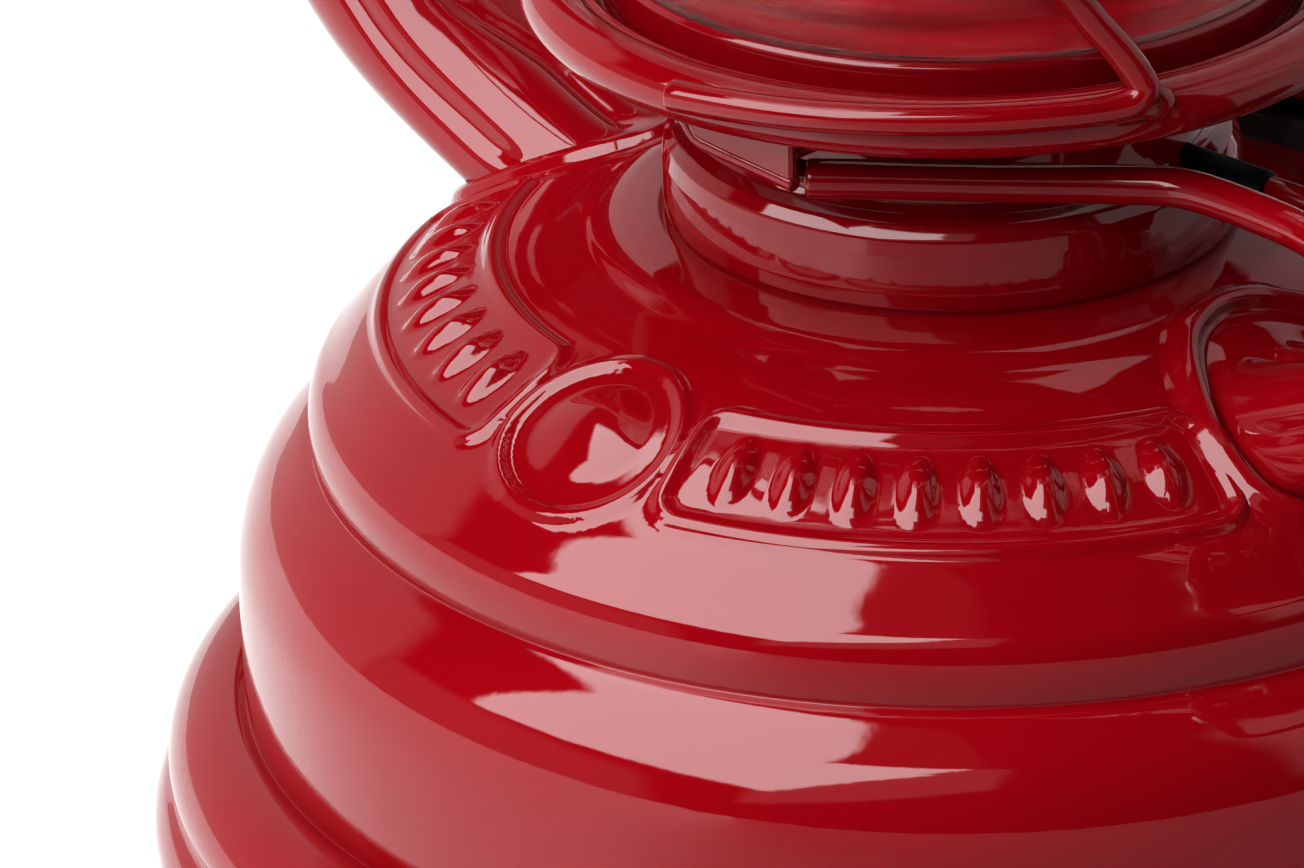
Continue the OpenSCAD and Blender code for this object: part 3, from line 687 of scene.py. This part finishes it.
def perforated(name, r0, r1, z0, z1, holes, mat, seg_per=24):
    """Flat ring with one row of round holes: holes = (count, ring radius, hole radius, start deg)."""
    n, rc, rh, st = holes
    V, F = [], []
    step = 2 * PI / n
    edge = []
    for q in range(seg_per):
        f = q / seg_per * 4
        k, u = int(f), f - int(f)
        corners = [(-0.5, r0), (0.5, r0), (0.5, r1), (-0.5, r1), (-0.5, r0)]
        edge.append((corners[k][0] + (corners[k + 1][0] - corners[k][0]) * u, corners[k][1] + (corners[k + 1][1] - corners[k][1]) * u))
    for c in range(n):
        a0 = math.radians(st) + c * step
        base = len(V)
        for z in (z0, z1):
            for lvl in (0, 1, 2):
                for (da, r) in edge:
                    px, py = r * math.cos(da * step), r * math.sin(da * step)
                    hx, hy = px - rc, py
                    L = math.hypot(hx, hy)
                    cx, cy = rc + hx / L * rh, hy / L * rh
                    if lvl == 0:
                        x, y = px, py
                    elif lvl == 1:
                        x, y = cx + (px - cx) * 0.12, cy + (py - cy) * 0.12
                    else:
                        x, y = cx, cy
                    V.append((x * math.cos(a0) - y * math.sin(a0), x * math.sin(a0) + y * math.cos(a0), z))
        S = seg_per
        for lv in range(2):
            for q in range(S):
                q2 = (q + 1) % S
                F.append([base + lv * S + q, base + lv * S + q2, base + (lv + 1) * S + q2, base + (lv + 1) * S + q])
                o = base + 3 * S
                F.append([o + lv * S + q, o + (lv + 1) * S + q, o + (lv + 1) * S + q2, o + lv * S + q2])
        for q in range(S):
            q2 = (q + 1) % S
            F.append([base + 2 * S + q, base + 2 * S + q2, base + 5 * S + q2, base + 5 * S + q])
            if q < S // 4 or S // 2 <= q < 3 * S // 4:
                F.append([base + q, base + 3 * S + q, base + 3 * S + q2, base + q2])
    return mesh_object(name, V, F, mat, 40)


piece(perforated("chamber_floor_skin", 22.8, 32.1, 211.0, 211.8, (12, 27.5, 2.0, 15), RED, 32), "frame", ["chamber_floor"])

# ---------------------------------------------------------------- globe carrier
roll = [(28.55 + 2.1 * math.cos(a), 69.45 + 2.1 * math.sin(a)) for a in np.radians(np.linspace(-118, 130, 40))]
plate = np.vstack([
    rounded([(20.3, 68.0, 0.2), (20.9, 67.7, 0.25), (21.3, 68.1, 0.3), (24.0, 68.0, 0.5), (26.9, 67.9, 0.4)], closed=False),
    roll,
    rounded([(27.0, 70.8), (26.88, 70.72, 0.1), (26.7, 70.88, 0.2), (26.35, 70.92, 0.3), (25.9, 70.5, 0.35), (25.85, 69.4, 0.5), (25.6, 68.9, 0.3), (24.75, 68.9, 0.2), (24.6, 69.6, 0.4),
             (24.62, 72.0, 0.4), (24.3, 72.4, 0.35), (23.0, 72.4, 0.3), (22.7, 71.9, 0.3), (22.6, 69.4, 0.5), (21.3, 69.2, 0.4), (21.1, 70.2, 0.5),
             (21.2, 77.7, 0.4), (20.85, 78.2, 0.3), (20.3, 77.8, 0.3)], closed=False)])
plate_ob = revolve("globe_plate_skin", plate, RED, 240, 45)
piece(plate_ob, "globe_carrier", ["globe_plate"])
# Inner ring liner in the glowing red enamel: its glow is painted light for the ring lit behind the glass.
liner = rounded([(21.15, 69.5, 0.1), (21.6, 69.5, 0.1), (21.6, 77.75, 0.25), (21.3, 78.1, 0.2), (21.1, 78.0, 0.1)], n=4)
piece(revolve("globe_plate_liner", liner, RED_GLOWING_SEAT, 192, 45), "globe_carrier", ())

GLOBE = [(24.5, 72.65), (24.6, 73.6), (25.0, 75.2), (26.2, 78.2), (29.35, 84), (33, 90), (36.4, 97), (38.8, 105), (39.75, 113), (39.75, 121), (38.6, 130), (35.6, 140),
         (31.3, 150), (26.9, 160), (23.7, 168), (22.1, 174), (21.7, 176.9)]
go = thin(spline(GLOBE, 14), 0.01)
tg = np.gradient(go, axis=0)
ng = np.stack([tg[:, 1], -tg[:, 0]], -1)
ng /= np.linalg.norm(ng, axis=1, keepdims=True)
gi = go - ng * 2.1
lip_lo = go[0] + np.array([-1.05, -0.0]) + np.array([[1.05 * math.cos(a), 1.05 * math.sin(a) * 0.2] for a in np.linspace(0, -PI, 7)[1:-1]])
lip_hi = go[-1] + np.array([-1.05, 0.0]) + np.array([[1.05 * math.cos(a), 1.05 * math.sin(a) * 0.5] for a in np.linspace(0, PI, 7)[1:-1]])
globe_loop = np.vstack([go, lip_hi, gi[::-1], lip_lo[::-1]])
piece(revolve("globe_skin", globe_loop, GLASS, 192, 70), "globe_carrier", ["globe"])

guard_pts = [(31.0 * math.cos(math.radians(a)), 31.0 * math.sin(math.radians(a)), z) for a, z in
             ((-84.7, 70.2), (-75, 70.5), (-65.7, 70.7), (-56, 70.9), (-47.6, 71.0), (-41, 71.05), (-35.2, 71.1), (-31, 71.1), (-27.4, 71.15))]
guard_pts += [(28.45, -12.81, 71.5), (28.72, -12.25, 72.25), (28.4, -12.45, 73.12), (27.5, -13.41, 75.03), (26.52, -14.65, 76.92), (25.67, -15.91, 78.85), (24.5, -19.0, 82.6), (23.4, -23.6, 86.6),
              (21.4, -28.2, 90.6), (17.0, -34, 95.4), (10.5, -40, 100), (-1, -42.8, 107), (-15, -41.5, 114),
              (-30, -36, 121), (-45, -27, 128), (-56.5, -19, 133), (-62.5, -14.6, 135.5), (-68.5, -12.4, 136.5), (-74.2, -10.4, 136.5), (-77.3, -5.5, 136.5),
              (-77.6, 0, 136.5), (-77.3, 5.5, 136.5), (-74.2, 10.4, 136.5), (-68.5, 12.4, 136.5), (-63, 10.8, 136.5), (-60.4, 7, 136.5)]


def guard(name, turn, node):
    v, f = tube_arrays(spline(guard_pts, 6), 1.13, 18, ends=("cut", "round"))
    welds = []
    for az, r, z, size in ((-70, 30.2, 70.4, (2.6, 0.8, 0.7)), (-50, 30.2, 70.7, (2.8, 0.8, 0.7)), (-33, 30.2, 70.9, (2.2, 0.8, 0.7)), (-20.6, 30.3, 70.6, (1.5, 0.9, 1.2))):
        a = math.radians(az)
        w, wf = ball((0, 0, 0), size)
        c, s = math.cos(a + PI / 2), math.sin(a + PI / 2)
        w = np.stack([w[:, 0] * c - w[:, 1] * s + r * math.cos(a), w[:, 0] * s + w[:, 1] * c + r * math.sin(a), w[:, 2] + z], -1)
        welds.append((w, wf))
    v, f = join((v, f), *welds)
    if turn:
        v = v * np.array([-1.0, -1.0, 1.0])
    ob = mesh_object(name, v, f, RED, 50)
    piece(ob, "globe_carrier", [node])


guard("guard_wire_front_skin", False, "guard_wire_front")
guard("guard_wire_back_skin", True, "guard_wire_back")


def slab(outline, y0, y1, edge=0.22):
    """Upright plate with the given (x, z) outline and eased edges."""
    p = np.asarray(outline, float)
    t = np.roll(p, -1, 0) - np.roll(p, 1, 0)
    t /= np.linalg.norm(t, axis=1, keepdims=True)
    n = np.stack([t[:, 1], -t[:, 0]], -1)
    if np.sum(p[:, 0] * np.roll(p[:, 1], -1) - np.roll(p[:, 0], -1) * p[:, 1]) < 0:
        n = -n
    ins = p - n * edge
    V = np.concatenate([np.column_stack([q[:, 0], np.full(len(q), y), q[:, 1]])
                        for q, y in ((ins, y0), (p, y0 + edge), (p, y1 - edge), (ins, y1))])
    m = len(p)
    return V, grid_faces(4, m, wrap_m=False).tolist() + [list(range(m))[::-1], [3 * m + k for k in range(m)]]


def strap():
    """Pressed stirrup under the plate: front and back walls, top flange and the shelf above the lever's end."""
    front = slab(rounded([(-3.4, 68.2, 0.3), (-3.4, 64.4, 0.9), (-1.8, 63.1, 1.0), (7.3, 62.4, 0.4), (7.3, 68.2, 0.3)], n=4), -24.15, -23.35)
    curl = tube_arrays(spline([(-3.1, -23.7, 64.8), (-1.9, -23.7, 63.6), (-0.2, -23.7, 63.33), (3.0, -23.7, 63.08), (7.15, -23.7, 62.75)], 5), 0.62, 14, ends="cut", up=(0, 1, 0.2))
    flange = slab(rounded([(-3.4, 67.6, 0.2), (7.3, 67.6, 0.2), (7.3, 68.3, 0.2), (-3.4, 68.3, 0.2)], n=3), -24.1, -19.6)
    back = slab(rounded([(-3.4, 68.2, 0.3), (-3.4, 64.4, 0.9), (-1.8, 63.2, 1.0), (4.6, 62.6, 0.6), (4.6, 68.2, 0.3)], n=4), -20.3, -19.6)
    shelf = slab(rounded([(-2.6, 64.3, 0.2), (7.1, 64.3, 0.2), (7.1, 65.0, 0.2), (-2.6, 65.0, 0.2)], n=3), -23.5, -19.8)
    return join(front, curl, flange, back, shelf)


sv, sf = strap()
strap_ob = mesh_object("lift_strap_skin", sv, sf, RED, 40)
piece(strap_ob, "globe_carrier", ["lift_strap"])

# ---------------------------------------------------------------- lift lever
lever_pts = [(7.0, -21.85, 62.5), (8.0, -21.02, 62.5), (9.4, -19.8, 62.5), (17, -13.5, 62.5), (23.8, -7.8, 62.5), (26.6, -6, 62.5), (30, -5.6, 62.5), (38, -6.3, 62.5),
             (44, -8.6, 62.5), (49.5, -12.8, 62.5), (54, -14.5, 62.5), (58, -14.6, 62.5), (66, -14.6, 62.5), (73, -14.2, 62.9), (77, -11.5, 63.5), (78.6, -6, 63.7), (78.6, 0, 63.7)]
lever = tube_arrays(spline(lever_pts, 8), 1.4, 20, ends=("cut", "round"))
tenon = tube_arrays([(4.4, -22.3, 63.0), (5.8, -22.1, 62.95), (7.2, -21.65, 62.85), (8.4, -20.7, 62.65)], 0.8, 14, ends="round")
eye = turned(rounded([(1.06, 13.2, 0.15), (3.0, 13.2, 0.4), (3.0, 16.0, 0.4), (1.06, 16.0, 0.15)], n=4), 40, (58, 0, 62.5), (0, -1, 0))
knob_end = ball((78.6, 0.2, 63.7), (2.2, 2.4, 2.2), 24, 14)
v, f = join(lever, tenon, eye, knob_end)
piece(mesh_object("lift_lever_skin", v, f, RED, 50), "lift_lever", ["lift_lever"])
boss = turned(rounded([(1.05, 6.8, 0.1), (4.6, 6.8, 0.2), (4.3, 9.6, 1.2), (3.6, 11.2, 0.8), (3.4, 12.7, 0.35), (1.05, 12.7, 0.15)], n=5), 48, (58, 0, 62.5), (0, -1, 0))
piece(mesh_object("lever_bracket_skin", boss[0], boss[1], RED, 40), "frame", ["lever_bracket"])
rivet = turned(rounded([(0.0, 10.6), (1.0, 10.6), (1.0, 16.35, 0.1), (2.05, 16.4, 0.15), (1.9, 16.95, 0.4), (1.1, 17.3, 0.6), (0.0, 17.38)], n=4), 36, (58, 0, 62.5), (0, -1, 0))
piece(mesh_object("lever_pin_skin", rivet[0], rivet[1], ZINC, 40), "frame", ["lever_pin"])


# ---------------------------------------------------------------- hood
def chimney_mesh():
    zs = np.array([188.0, 188.25, 200, 212, 224, 236, 240, 247, 249.5, 251.15, 251.4])
    hole = (6, 7)
    cols = []
    for k in range(8):
        a = k * 45
        cols += list(a + np.linspace(-11.3, 11.3, 9)) + list(a + np.linspace(11.3, 33.7, 9)[1:-1])
    az = np.radians(np.array(cols))
    n, m = len(az), len(zs)
    ro = np.full(m, 18.3)
    ri = np.full(m, 17.5)
    ro[0], ri[0], ro[-1], ri[-1] = 18.1, 17.7, 18.1, 17.7
    V = np.concatenate([revolve_verts(np.stack([ro, zs], -1), az), revolve_verts(np.stack([ri, zs], -1), az)])
    off = m * n
    F = []
    open_cell = lambda i, j: i == hole[0] and (j % 15) < 8
    for i in range(m - 1):
        for j in range(n):
            j2 = (j + 1) % n
            if open_cell(i, j):
                a, b_, c, d = i * n + j, i * n + j2, (i + 1) * n + j2, (i + 1) * n + j
                F.append([a, b_, off + b_, off + a])
                F.append([d, off + d, off + c, c])
                if not open_cell(i, (j - 1) % n):
                    F.append([a, off + a, off + d, d])
                if not open_cell(i, j2):
                    F.append([b_, c, off + c, off + b_])
                continue
            F.append([i * n + j, i * n + j2, (i + 1) * n + j2, (i + 1) * n + j])
            F.append([off + i * n + j, off + (i + 1) * n + j, off + (i + 1) * n + j2, off + i * n + j2])
    for j in range(n):
        j2 = (j + 1) % n
        F.append([j, off + j, off + j2, j2])
        F.append([(m - 1) * n + j, (m - 1) * n + j2, off + (m - 1) * n + j2, off + (m - 1) * n + j])
    return V, F


cv, cf = chimney_mesh()
piece(mesh_object("chimney_skin", cv, cf, RED, 40), "hood", ["chimney"])
crown = rounded([(17.1, 177.5, 0.2), (26.9, 177.4, 0.6), (27.9, 177.5, 0.4), (28.2, 178.4, 0.5), (27.9, 179.9, 0.7), (26.2, 181.4, 0.6), (25.6, 182.2, 0.5), (22.6, 184.3, 1.2), (20.3, 185.6, 0.8),
                 (19.3, 186.7, 0.6), (19.15, 188.3, 0.2), (18.35, 188.3, 0.1), (18.35, 186.4, 0.3), (25.0, 181.6, 0.5), (27.1, 179.6, 0.4), (27.1, 178.3, 0.3), (17.1, 178.2, 0.2)], n=5)
piece(revolve("globe_crown_skin", crown, RED, 160), "hood", ["globe_crown"])
hood = rounded([(0, 258.6), (4.6, 258.4, 1.0), (6.2, 257.6, 0.8), (9, 257.0, 2), (15, 254.4, 6), (24, 249.6, 10), (27.4, 247.7, 0.8), (28.3, 247.5, 0.6), (29.6, 246.2, 0.8), (33.4, 243.8, 3), (35.6, 242.4, 1.0),
                (36.9, 241.2, 0.7), (37.2, 240.0, 0.8), (36.5, 239.0, 0.6), (35.4, 239.2, 0.4), (35.3, 240.4, 0.4), (33.4, 242.6, 1.5), (23.6, 248.6, 8), (15, 253.4, 6), (6, 256.9, 3), (0, 257.4)], n=5)
piece(revolve("hood_cap_skin", hood, RED, 180), "hood", ["hood_cap"])


def lug():
    """Flat upright eye for the pull ring, on a small riveted foot."""
    rim = []
    for a in np.linspace(-32, 212, 40):
        rim.append((3.1 * math.cos(math.radians(a)), 264.5 + 3.1 * math.sin(math.radians(a))))
    rim = rounded([(-2.4, 259.0, 0.2)] + [], closed=False).tolist() + [list(p) for p in reversed(rim)] + [[2.4, 259.0]]
    rim = np.array(rim)
    n = len(rim)
    c = np.array([0.0, 264.5])
    d = rim - c
    ang = np.arctan2(d[:, 1], d[:, 0])
    hole = c + 1.35 * np.stack([np.cos(ang), np.sin(ang)], -1)
    L = np.linalg.norm(d, axis=1, keepdims=True)
    ins = rim - d / L * 0.25
    ho2 = c + 1.6 * np.stack([np.cos(ang), np.sin(ang)], -1)
    layers = [(hole, -0.55), (ho2, -0.8), (ins, -0.8), (rim, -0.5), (rim, 0.5), (ins, 0.8), (ho2, 0.8), (hole, 0.55)]
    V = np.concatenate([np.column_stack([np.full(n, x), p[:, 0], p[:, 1]]) for p, x in layers])
    F = grid_faces(len(layers), n).tolist()
    foot = turned(rounded([(0, 258.3), (3.9, 258.3, 0.2), (3.9, 258.9, 0.3), (2.9, 259.6, 0.5), (0, 259.9)], n=4), 40, (0, 0, 0), (0, 0, 1))
    return join((V, F), foot)


lv, lf = lug()
piece(mesh_object("ring_lug_skin", lv, lf, RED, 40), "hood", ["ring_lug"])

hang = math.radians(-27)
ring_path = []
for a in np.radians(np.linspace(94, 446, 90)):
    x, y = 9 * math.cos(a), 9 + 9 * math.sin(a)
    ring_path.append((x, y * math.cos(hang), 264.5 + y * math.sin(hang)))
rv, rf = tube_arrays(ring_path, 1.2, 18, ends="cut", up=(0, 0.45, 0.9))
piece(mesh_object("pull_ring_skin", rv, rf, ZINC, 50), "pull_ring", ["pull_ring"])

turns, low, high = 6, 187.2, 225.5
coil = []
for i in range(turns * 40 + 1):
    u = i / (turns * 40)
    w = 0.5 * u + 0.5 * (u + math.sin(2 * PI * (u - 0.5)) / (2 * PI) * 0.35)
    coil.append((21.4 * math.cos(2 * PI * turns * u), 21.4 * math.sin(2 * PI * turns * u), low + (high - low) * w))
half = turns * 20
kv, kf = tube_arrays(coil[:half + 1], 0.75, 12, ends="cut", up=(0, 0, 1))
spring = piece(mesh_object("hood_spring_skin", kv, kf, SPRING, 50), "globe_carrier", ["hood_spring"])
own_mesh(spring)
kv, kf = tube_arrays(coil[half:], 0.75, 12, ends="cut", up=(0, 0, 1))
spring = mesh_object("hood_spring_upper", kv, kf, SPRING, 50)
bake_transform(spring)

# ---------------------------------------------------------------- bail
bail_pts = [(-78.3, 0, -3.4), (-78.3, 0, -8), (-78.3, 0, -25), (-78.3, 0, -40)] + [(78.3 * math.cos(a), 0, -50 + 78.3 * math.sin(a)) for a in np.radians(np.arange(180, 361, 6))] + [
    (78.3, 0, -40), (78.3, 0, -25), (78.3, 0, -8), (78.3, 0, -3.4)]
bv = tube_arrays(spline(bail_pts, 4), 1.5, 18, ends="round", up=(0.1, 1, 0.1))
eyes = []
for s in (-1, 1):
    ringp = [(s * 78.3, 3.35 * math.cos(a), 3.35 * math.sin(a)) for a in circle_az(44)]
    ev, ef = tube_arrays(ringp, 1.25, 14, closed=True, up=(1, 0, 0))
    eyes.append((ev, ef))
v, f = join(bv, *eyes)
t = math.radians(26)
v = np.stack([v[:, 0], v[:, 1] * math.cos(t) - v[:, 2] * math.sin(t), 176 + v[:, 1] * math.sin(t) + v[:, 2] * math.cos(t)], -1)
piece(mesh_object("bail_skin", v, f, ZINC, 50), "bail", ["bail"])
for s, side in ((1, "right"), (-1, "left")):
    loop = rounded([(0, -0.4), (5.2, -0.4, 0.2), (4.9, 0.9, 0.5), (3.0, 1.35, 0.4), (2.0, 1.5, 0.3), (2.0, 5.1, 0.1), (3.3, 5.15, 0.2), (3.2, 5.8, 0.4), (1.8, 6.25, 0.6), (0, 6.35)], n=4)
    ev, ef = turned(loop, 44, (s * 75.05, 0, 176), (s, 0, 0))
    piece(mesh_object(f"bail_ear_{side}_skin", ev, ef, ZINC, 40), "frame", [f"bail_ear_{side}"])

# ---------------------------------------------------------------- filler
F0 = np.array([0, 36, 46.9])
FA = np.array([0, 0.469472, 0.882948])
FU = np.array([1.0, 0, 0])
FW = np.cross(FA, FU)


def filler_verts(loop, n, shape=None):
    loop = np.asarray(loop, float)
    az = circle_az(n)
    r = loop[:, 0][:, None] + 0 * az
    if shape is not None:
        r = r * shape(loop, az)
    V = F0 + loop[:, 1][:, None, None] * FA + r[:, :, None] * (np.cos(az)[None, :, None] * FU + np.sin(az)[None, :, None] * FW)
    return V.reshape(-1, 3), grid_faces(len(loop), n).tolist()


cap_loop = rounded([(0, 10.6), (6.5, 10.5, 0.8), (7.4, 9.9, 0.4), (9.6, 9.9, 0.4), (10.4, 10.6, 0.5), (11.2, 10.5, 0.5), (12.0, 9.4, 0.6), (12.05, 8.6, 0.4), (12.05, 3.6, 0.4), (12.3, 3.2, 0.3), (12.3, 2.5, 0.3),
                    (11.6, 2.3, 0.2), (9.5, 2.3, 0.2), (9.45, 8.2, 0.3), (0, 8.3)], n=4)


def flutes(loop, az):
    z = loop[:, 1][:, None]
    w = smoothstep((z - 3.3) / 0.8) * smoothstep((9.9 - z) / 1.0) * (loop[:, 0][:, None] > 11)
    return 1 - 0.055 * w * (0.5 + 0.5 * np.cos(24 * az[None, :])) ** 1.5


v, f = filler_verts(cap_loop, 288, flutes)
piece(mesh_object("filler_cap_skin", v, f, RED, 50), "filler_cap", ["filler_cap"])
thread = [(7.25, -2.9), (7.25, 5.9, 0.2), (8.6, 6.0, 0.3)]
for k in range(3):
    z = 5.1 - 1.5 * k
    thread += [(8.7, z + 0.3, 0.15), (9.15, z, 0.2), (8.7, z - 0.4, 0.15)]
thread += [(8.75, 1.7, 0.3), (9.6, 1.5, 0.5), (10.9, 1.4, 0.3), (11.4, 0.4, 0.6), (11.6, -5.5), (8.0, -5.5)]
v, f = filler_verts(rounded(thread, n=3), 120)
piece(mesh_object("filler_neck_skin", v, f, NECK_PAINTED_SHADE, 40), "frame", ["filler_neck"])

# ---------------------------------------------------------------- wick feed
knob_loop = rounded([(1.15, 32.6, 0.1), (2.7, 32.6, 0.3), (2.9, 33.8, 0.4), (5.4, 34.0, 0.3), (6.4, 34.35, 0.3), (6.4, 35.9, 0.3), (5.6, 36.25, 0.3), (4.4, 35.85, 0.3), (2.6, 35.85, 0.3), (2.0, 36.5, 0.3), (1.15, 36.5, 0.1)], n=4)
kl = np.asarray(knob_loop)
az = circle_az(240)
rr = kl[:, 0][:, None] * (1 - 0.05 * smoothstep((kl[:, 0][:, None] - 4.9) / 0.8) * (0.5 + 0.5 * np.cos(30 * az[None, :])))
V = np.stack([kl[:, 1][:, None] + 0 * az, 4.7 + rr * 0.9375 * np.cos(az), 59 + rr * 0.9375 * np.sin(az)], -1).reshape(-1, 3)
piece(mesh_object("wick_knob_skin", V, grid_faces(len(kl), 240), BLACK, 40), "wick_spindle", ["wick_knob"])
rod = turned(rounded([(0, -9.1), (1.1, -9.0, 0.3), (1.1, 25.5, 0.15), (0.6, 25.6, 0.1), (0.6, 32.7), (1.1, 32.8, 0.1), (1.1, 37.2, 0.4), (0, 37.4)], n=4), 32, (0, 4.7, 59), (1, 0, 0))
piece(mesh_object("wick_shaft_skin", rod[0], rod[1], BLACK, 40), "wick_spindle", ["wick_shaft"])
sleeve = turned(rounded([(0.62, 25.7, 0.05), (0.85, 25.7, 0.1), (0.85, 32.6, 0.1), (0.62, 32.6, 0.05)], n=3), 28, (0, 4.7, 59), (1, 0, 0))
piece(mesh_object("wick_shaft_sleeve", sleeve[0], sleeve[1], RED, 40), "wick_spindle", ())

# ---------------------------------------------------------------- CAD nodes that stay
for node, mat in (("tank_bottom", RED), ("cap_gasket", RUBBER), ("air_plate", BRASS), ("wick_tube", BRASS), ("flame_cone", BRASS),
                  ("wick", COTTON), ("wick_wheels", BRASS)):
    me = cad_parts[node].data
    me.materials.clear()
    me.materials.append(mat)

# ---------------------------------------------------------------- stage and light
floor_me = bpy.data.meshes.new("floor")
floor_me.from_pydata([(-9, -9, -0.0003), (9, -9, -0.0003), (9, 9, -0.0003), (-9, 9, -0.0003)], [], [(0, 1, 2, 3)])
floor = bpy.data.objects.new("floor", floor_me)
scene.collection.objects.link(floor)
FLOOR, nt, b, co = material("pale_floor")
b.inputs["Roughness"].default_value = 0.85
b.inputs["Specular IOR Level"].default_value = 0.1
xyz = nt.nodes.new("ShaderNodeSeparateXYZ")
nt.links.new(co, xyz.inputs[0])
across = calc(nt, "ADD", calc(nt, "MULTIPLY", xyz.outputs[0], -0.985), calc(nt, "MULTIPLY", xyz.outputs[1], -0.174))
# The floor glows white, strongest on the left and weaker from just in front of the lantern backwards. This is painted
# light, with a painted contact shadow by the foot.
b.inputs["Emission Color"].default_value = (1, 1, 1, 1)
nt.links.new(calc(nt, "MULTIPLY", remap(nt, across, -0.02, 0.018, 0.0, 0.44, True), remap(nt, xyz.outputs[1], -0.05, -0.005, 1.0, 0.4, True)),
             b.inputs["Emission Strength"])
# The floor colour runs from pale grey on the right to near white on the left, with small random variation. The grey
# side is painted shade.
floor_shade_tone = calc(nt, "ADD", remap(nt, across, -0.07, 0.035, 0.04, 0.96, True), remap(nt, noise(nt, co, 6, 2), 0.3, 0.7, -0.03, 0.03))
nt.links.new(ramp(nt, floor_shade_tone, [(0.0, (0.38, 0.38, 0.38)), (1.0, (0.88, 0.88, 0.88))]), b.inputs["Base Color"])
floor_me.materials.append(FLOOR)

world = bpy.data.worlds.new("studio")
scene.world = world
world.use_nodes = True
nt = world.node_tree
nt.nodes.clear()
wo = nt.nodes.new("ShaderNodeOutputWorld")
bg = nt.nodes.new("ShaderNodeBackground")
nt.links.new(bg.outputs[0], wo.inputs["Surface"])
tc = nt.nodes.new("ShaderNodeTexCoord")


def toward(az, el):
    a, e = math.radians(az), math.radians(el)
    return np.array([math.sin(a) * math.cos(e), -math.cos(a) * math.cos(e), math.sin(e)])


def dot_with(v):
    d = nt.nodes.new("ShaderNodeVectorMath")
    d.operation = "DOT_PRODUCT"
    nt.links.new(tc.outputs["Generated"], d.inputs[0])
    d.inputs[1].default_value = tuple(float(x) for x in v)
    return d.outputs["Value"]


def lobe(az, el, inner_deg, outer_deg, value):
    return remap(nt, dot_with(toward(az, el)), math.cos(math.radians(outer_deg)), math.cos(math.radians(inner_deg)), 0.0, value, True)


def panel_light(corners, value, soft=1.0):
    """Flat light seen from the object: a convex outline given as azimuth and elevation."""
    pts = [toward(*c) for c in corners]
    mid = sum(pts)
    w = math.sin(math.radians(soft))
    total = None
    for i, p in enumerate(pts):
        n = np.cross(p, pts[(i + 1) % len(pts)])
        n /= np.linalg.norm(n)
        if n @ mid < 0:
            n = -n
        e = remap(nt, dot_with(n), -w, w, 0.0, 1.0, True)
        total = e if total is None else calc(nt, "MULTIPLY", total, e)
    return calc(nt, "MULTIPLY", total, value)


lights = [
    panel_light([(-40, 20.5), (14, 20), (40, 42.5), (-44, 42)], 6.2, 0.8),
    panel_light([(14, 20), (47, 48.5), (19, 49), (10, 40)], 6.2, 0.8),
    panel_light([(-44, 40), (18, 40), (21, 62), (8, 77), (-40, 82), (-50, 78)], 6.2, 1.0),
    panel_light([(-93, 54), (-40, 53), (-36, 81), (-46, 81)], 6.2, 1.2),
    panel_light([(17, 47), (50, 50), (50, 66), (38, 77), (4, 78)], 0.15, 1.5),
    panel_light([(11, 22), (10, 9), (50, 30), (54, 48), (44, 49)], 0.6, 1.5),
    panel_light([(-135, -16), (-61, -16), (-57, 18), (-62, 30), (-75, 41), (-108, 41), (-128, 36)], 0.72, 3.0),
    panel_light([(-64, -12), (-2, -12), (-6, 17), (-60, 18)], 0.42, 3.0),
    panel_light([(98, 10), (170, 8), (170, 40), (100, 55)], 0.8, 4.0),
    lobe(170, 10, 25, 62, 0.6),
]
total = lights[0]
for item in lights[1:]:
    total = calc(nt, "MAXIMUM", total, item)
total = calc(nt, "ADD", total, 0.02)
path = nt.nodes.new("ShaderNodeLightPath")
through = calc(nt, "MULTIPLY", path.outputs["Is Transmission Ray"], calc(nt, "LESS_THAN", path.outputs["Diffuse Depth"], 0.5))
seen = calc(nt, "MAXIMUM", path.outputs["Is Camera Ray"], through)
pale = calc(nt, "MULTIPLY", seen, 1.0)
nt.links.new(calc(nt, "ADD", calc(nt, "MULTIPLY", total, calc(nt, "SUBTRACT", 1.0, seen)), pale), bg.inputs["Strength"])
bg.inputs["Color"].default_value = (1, 1, 1, 1)
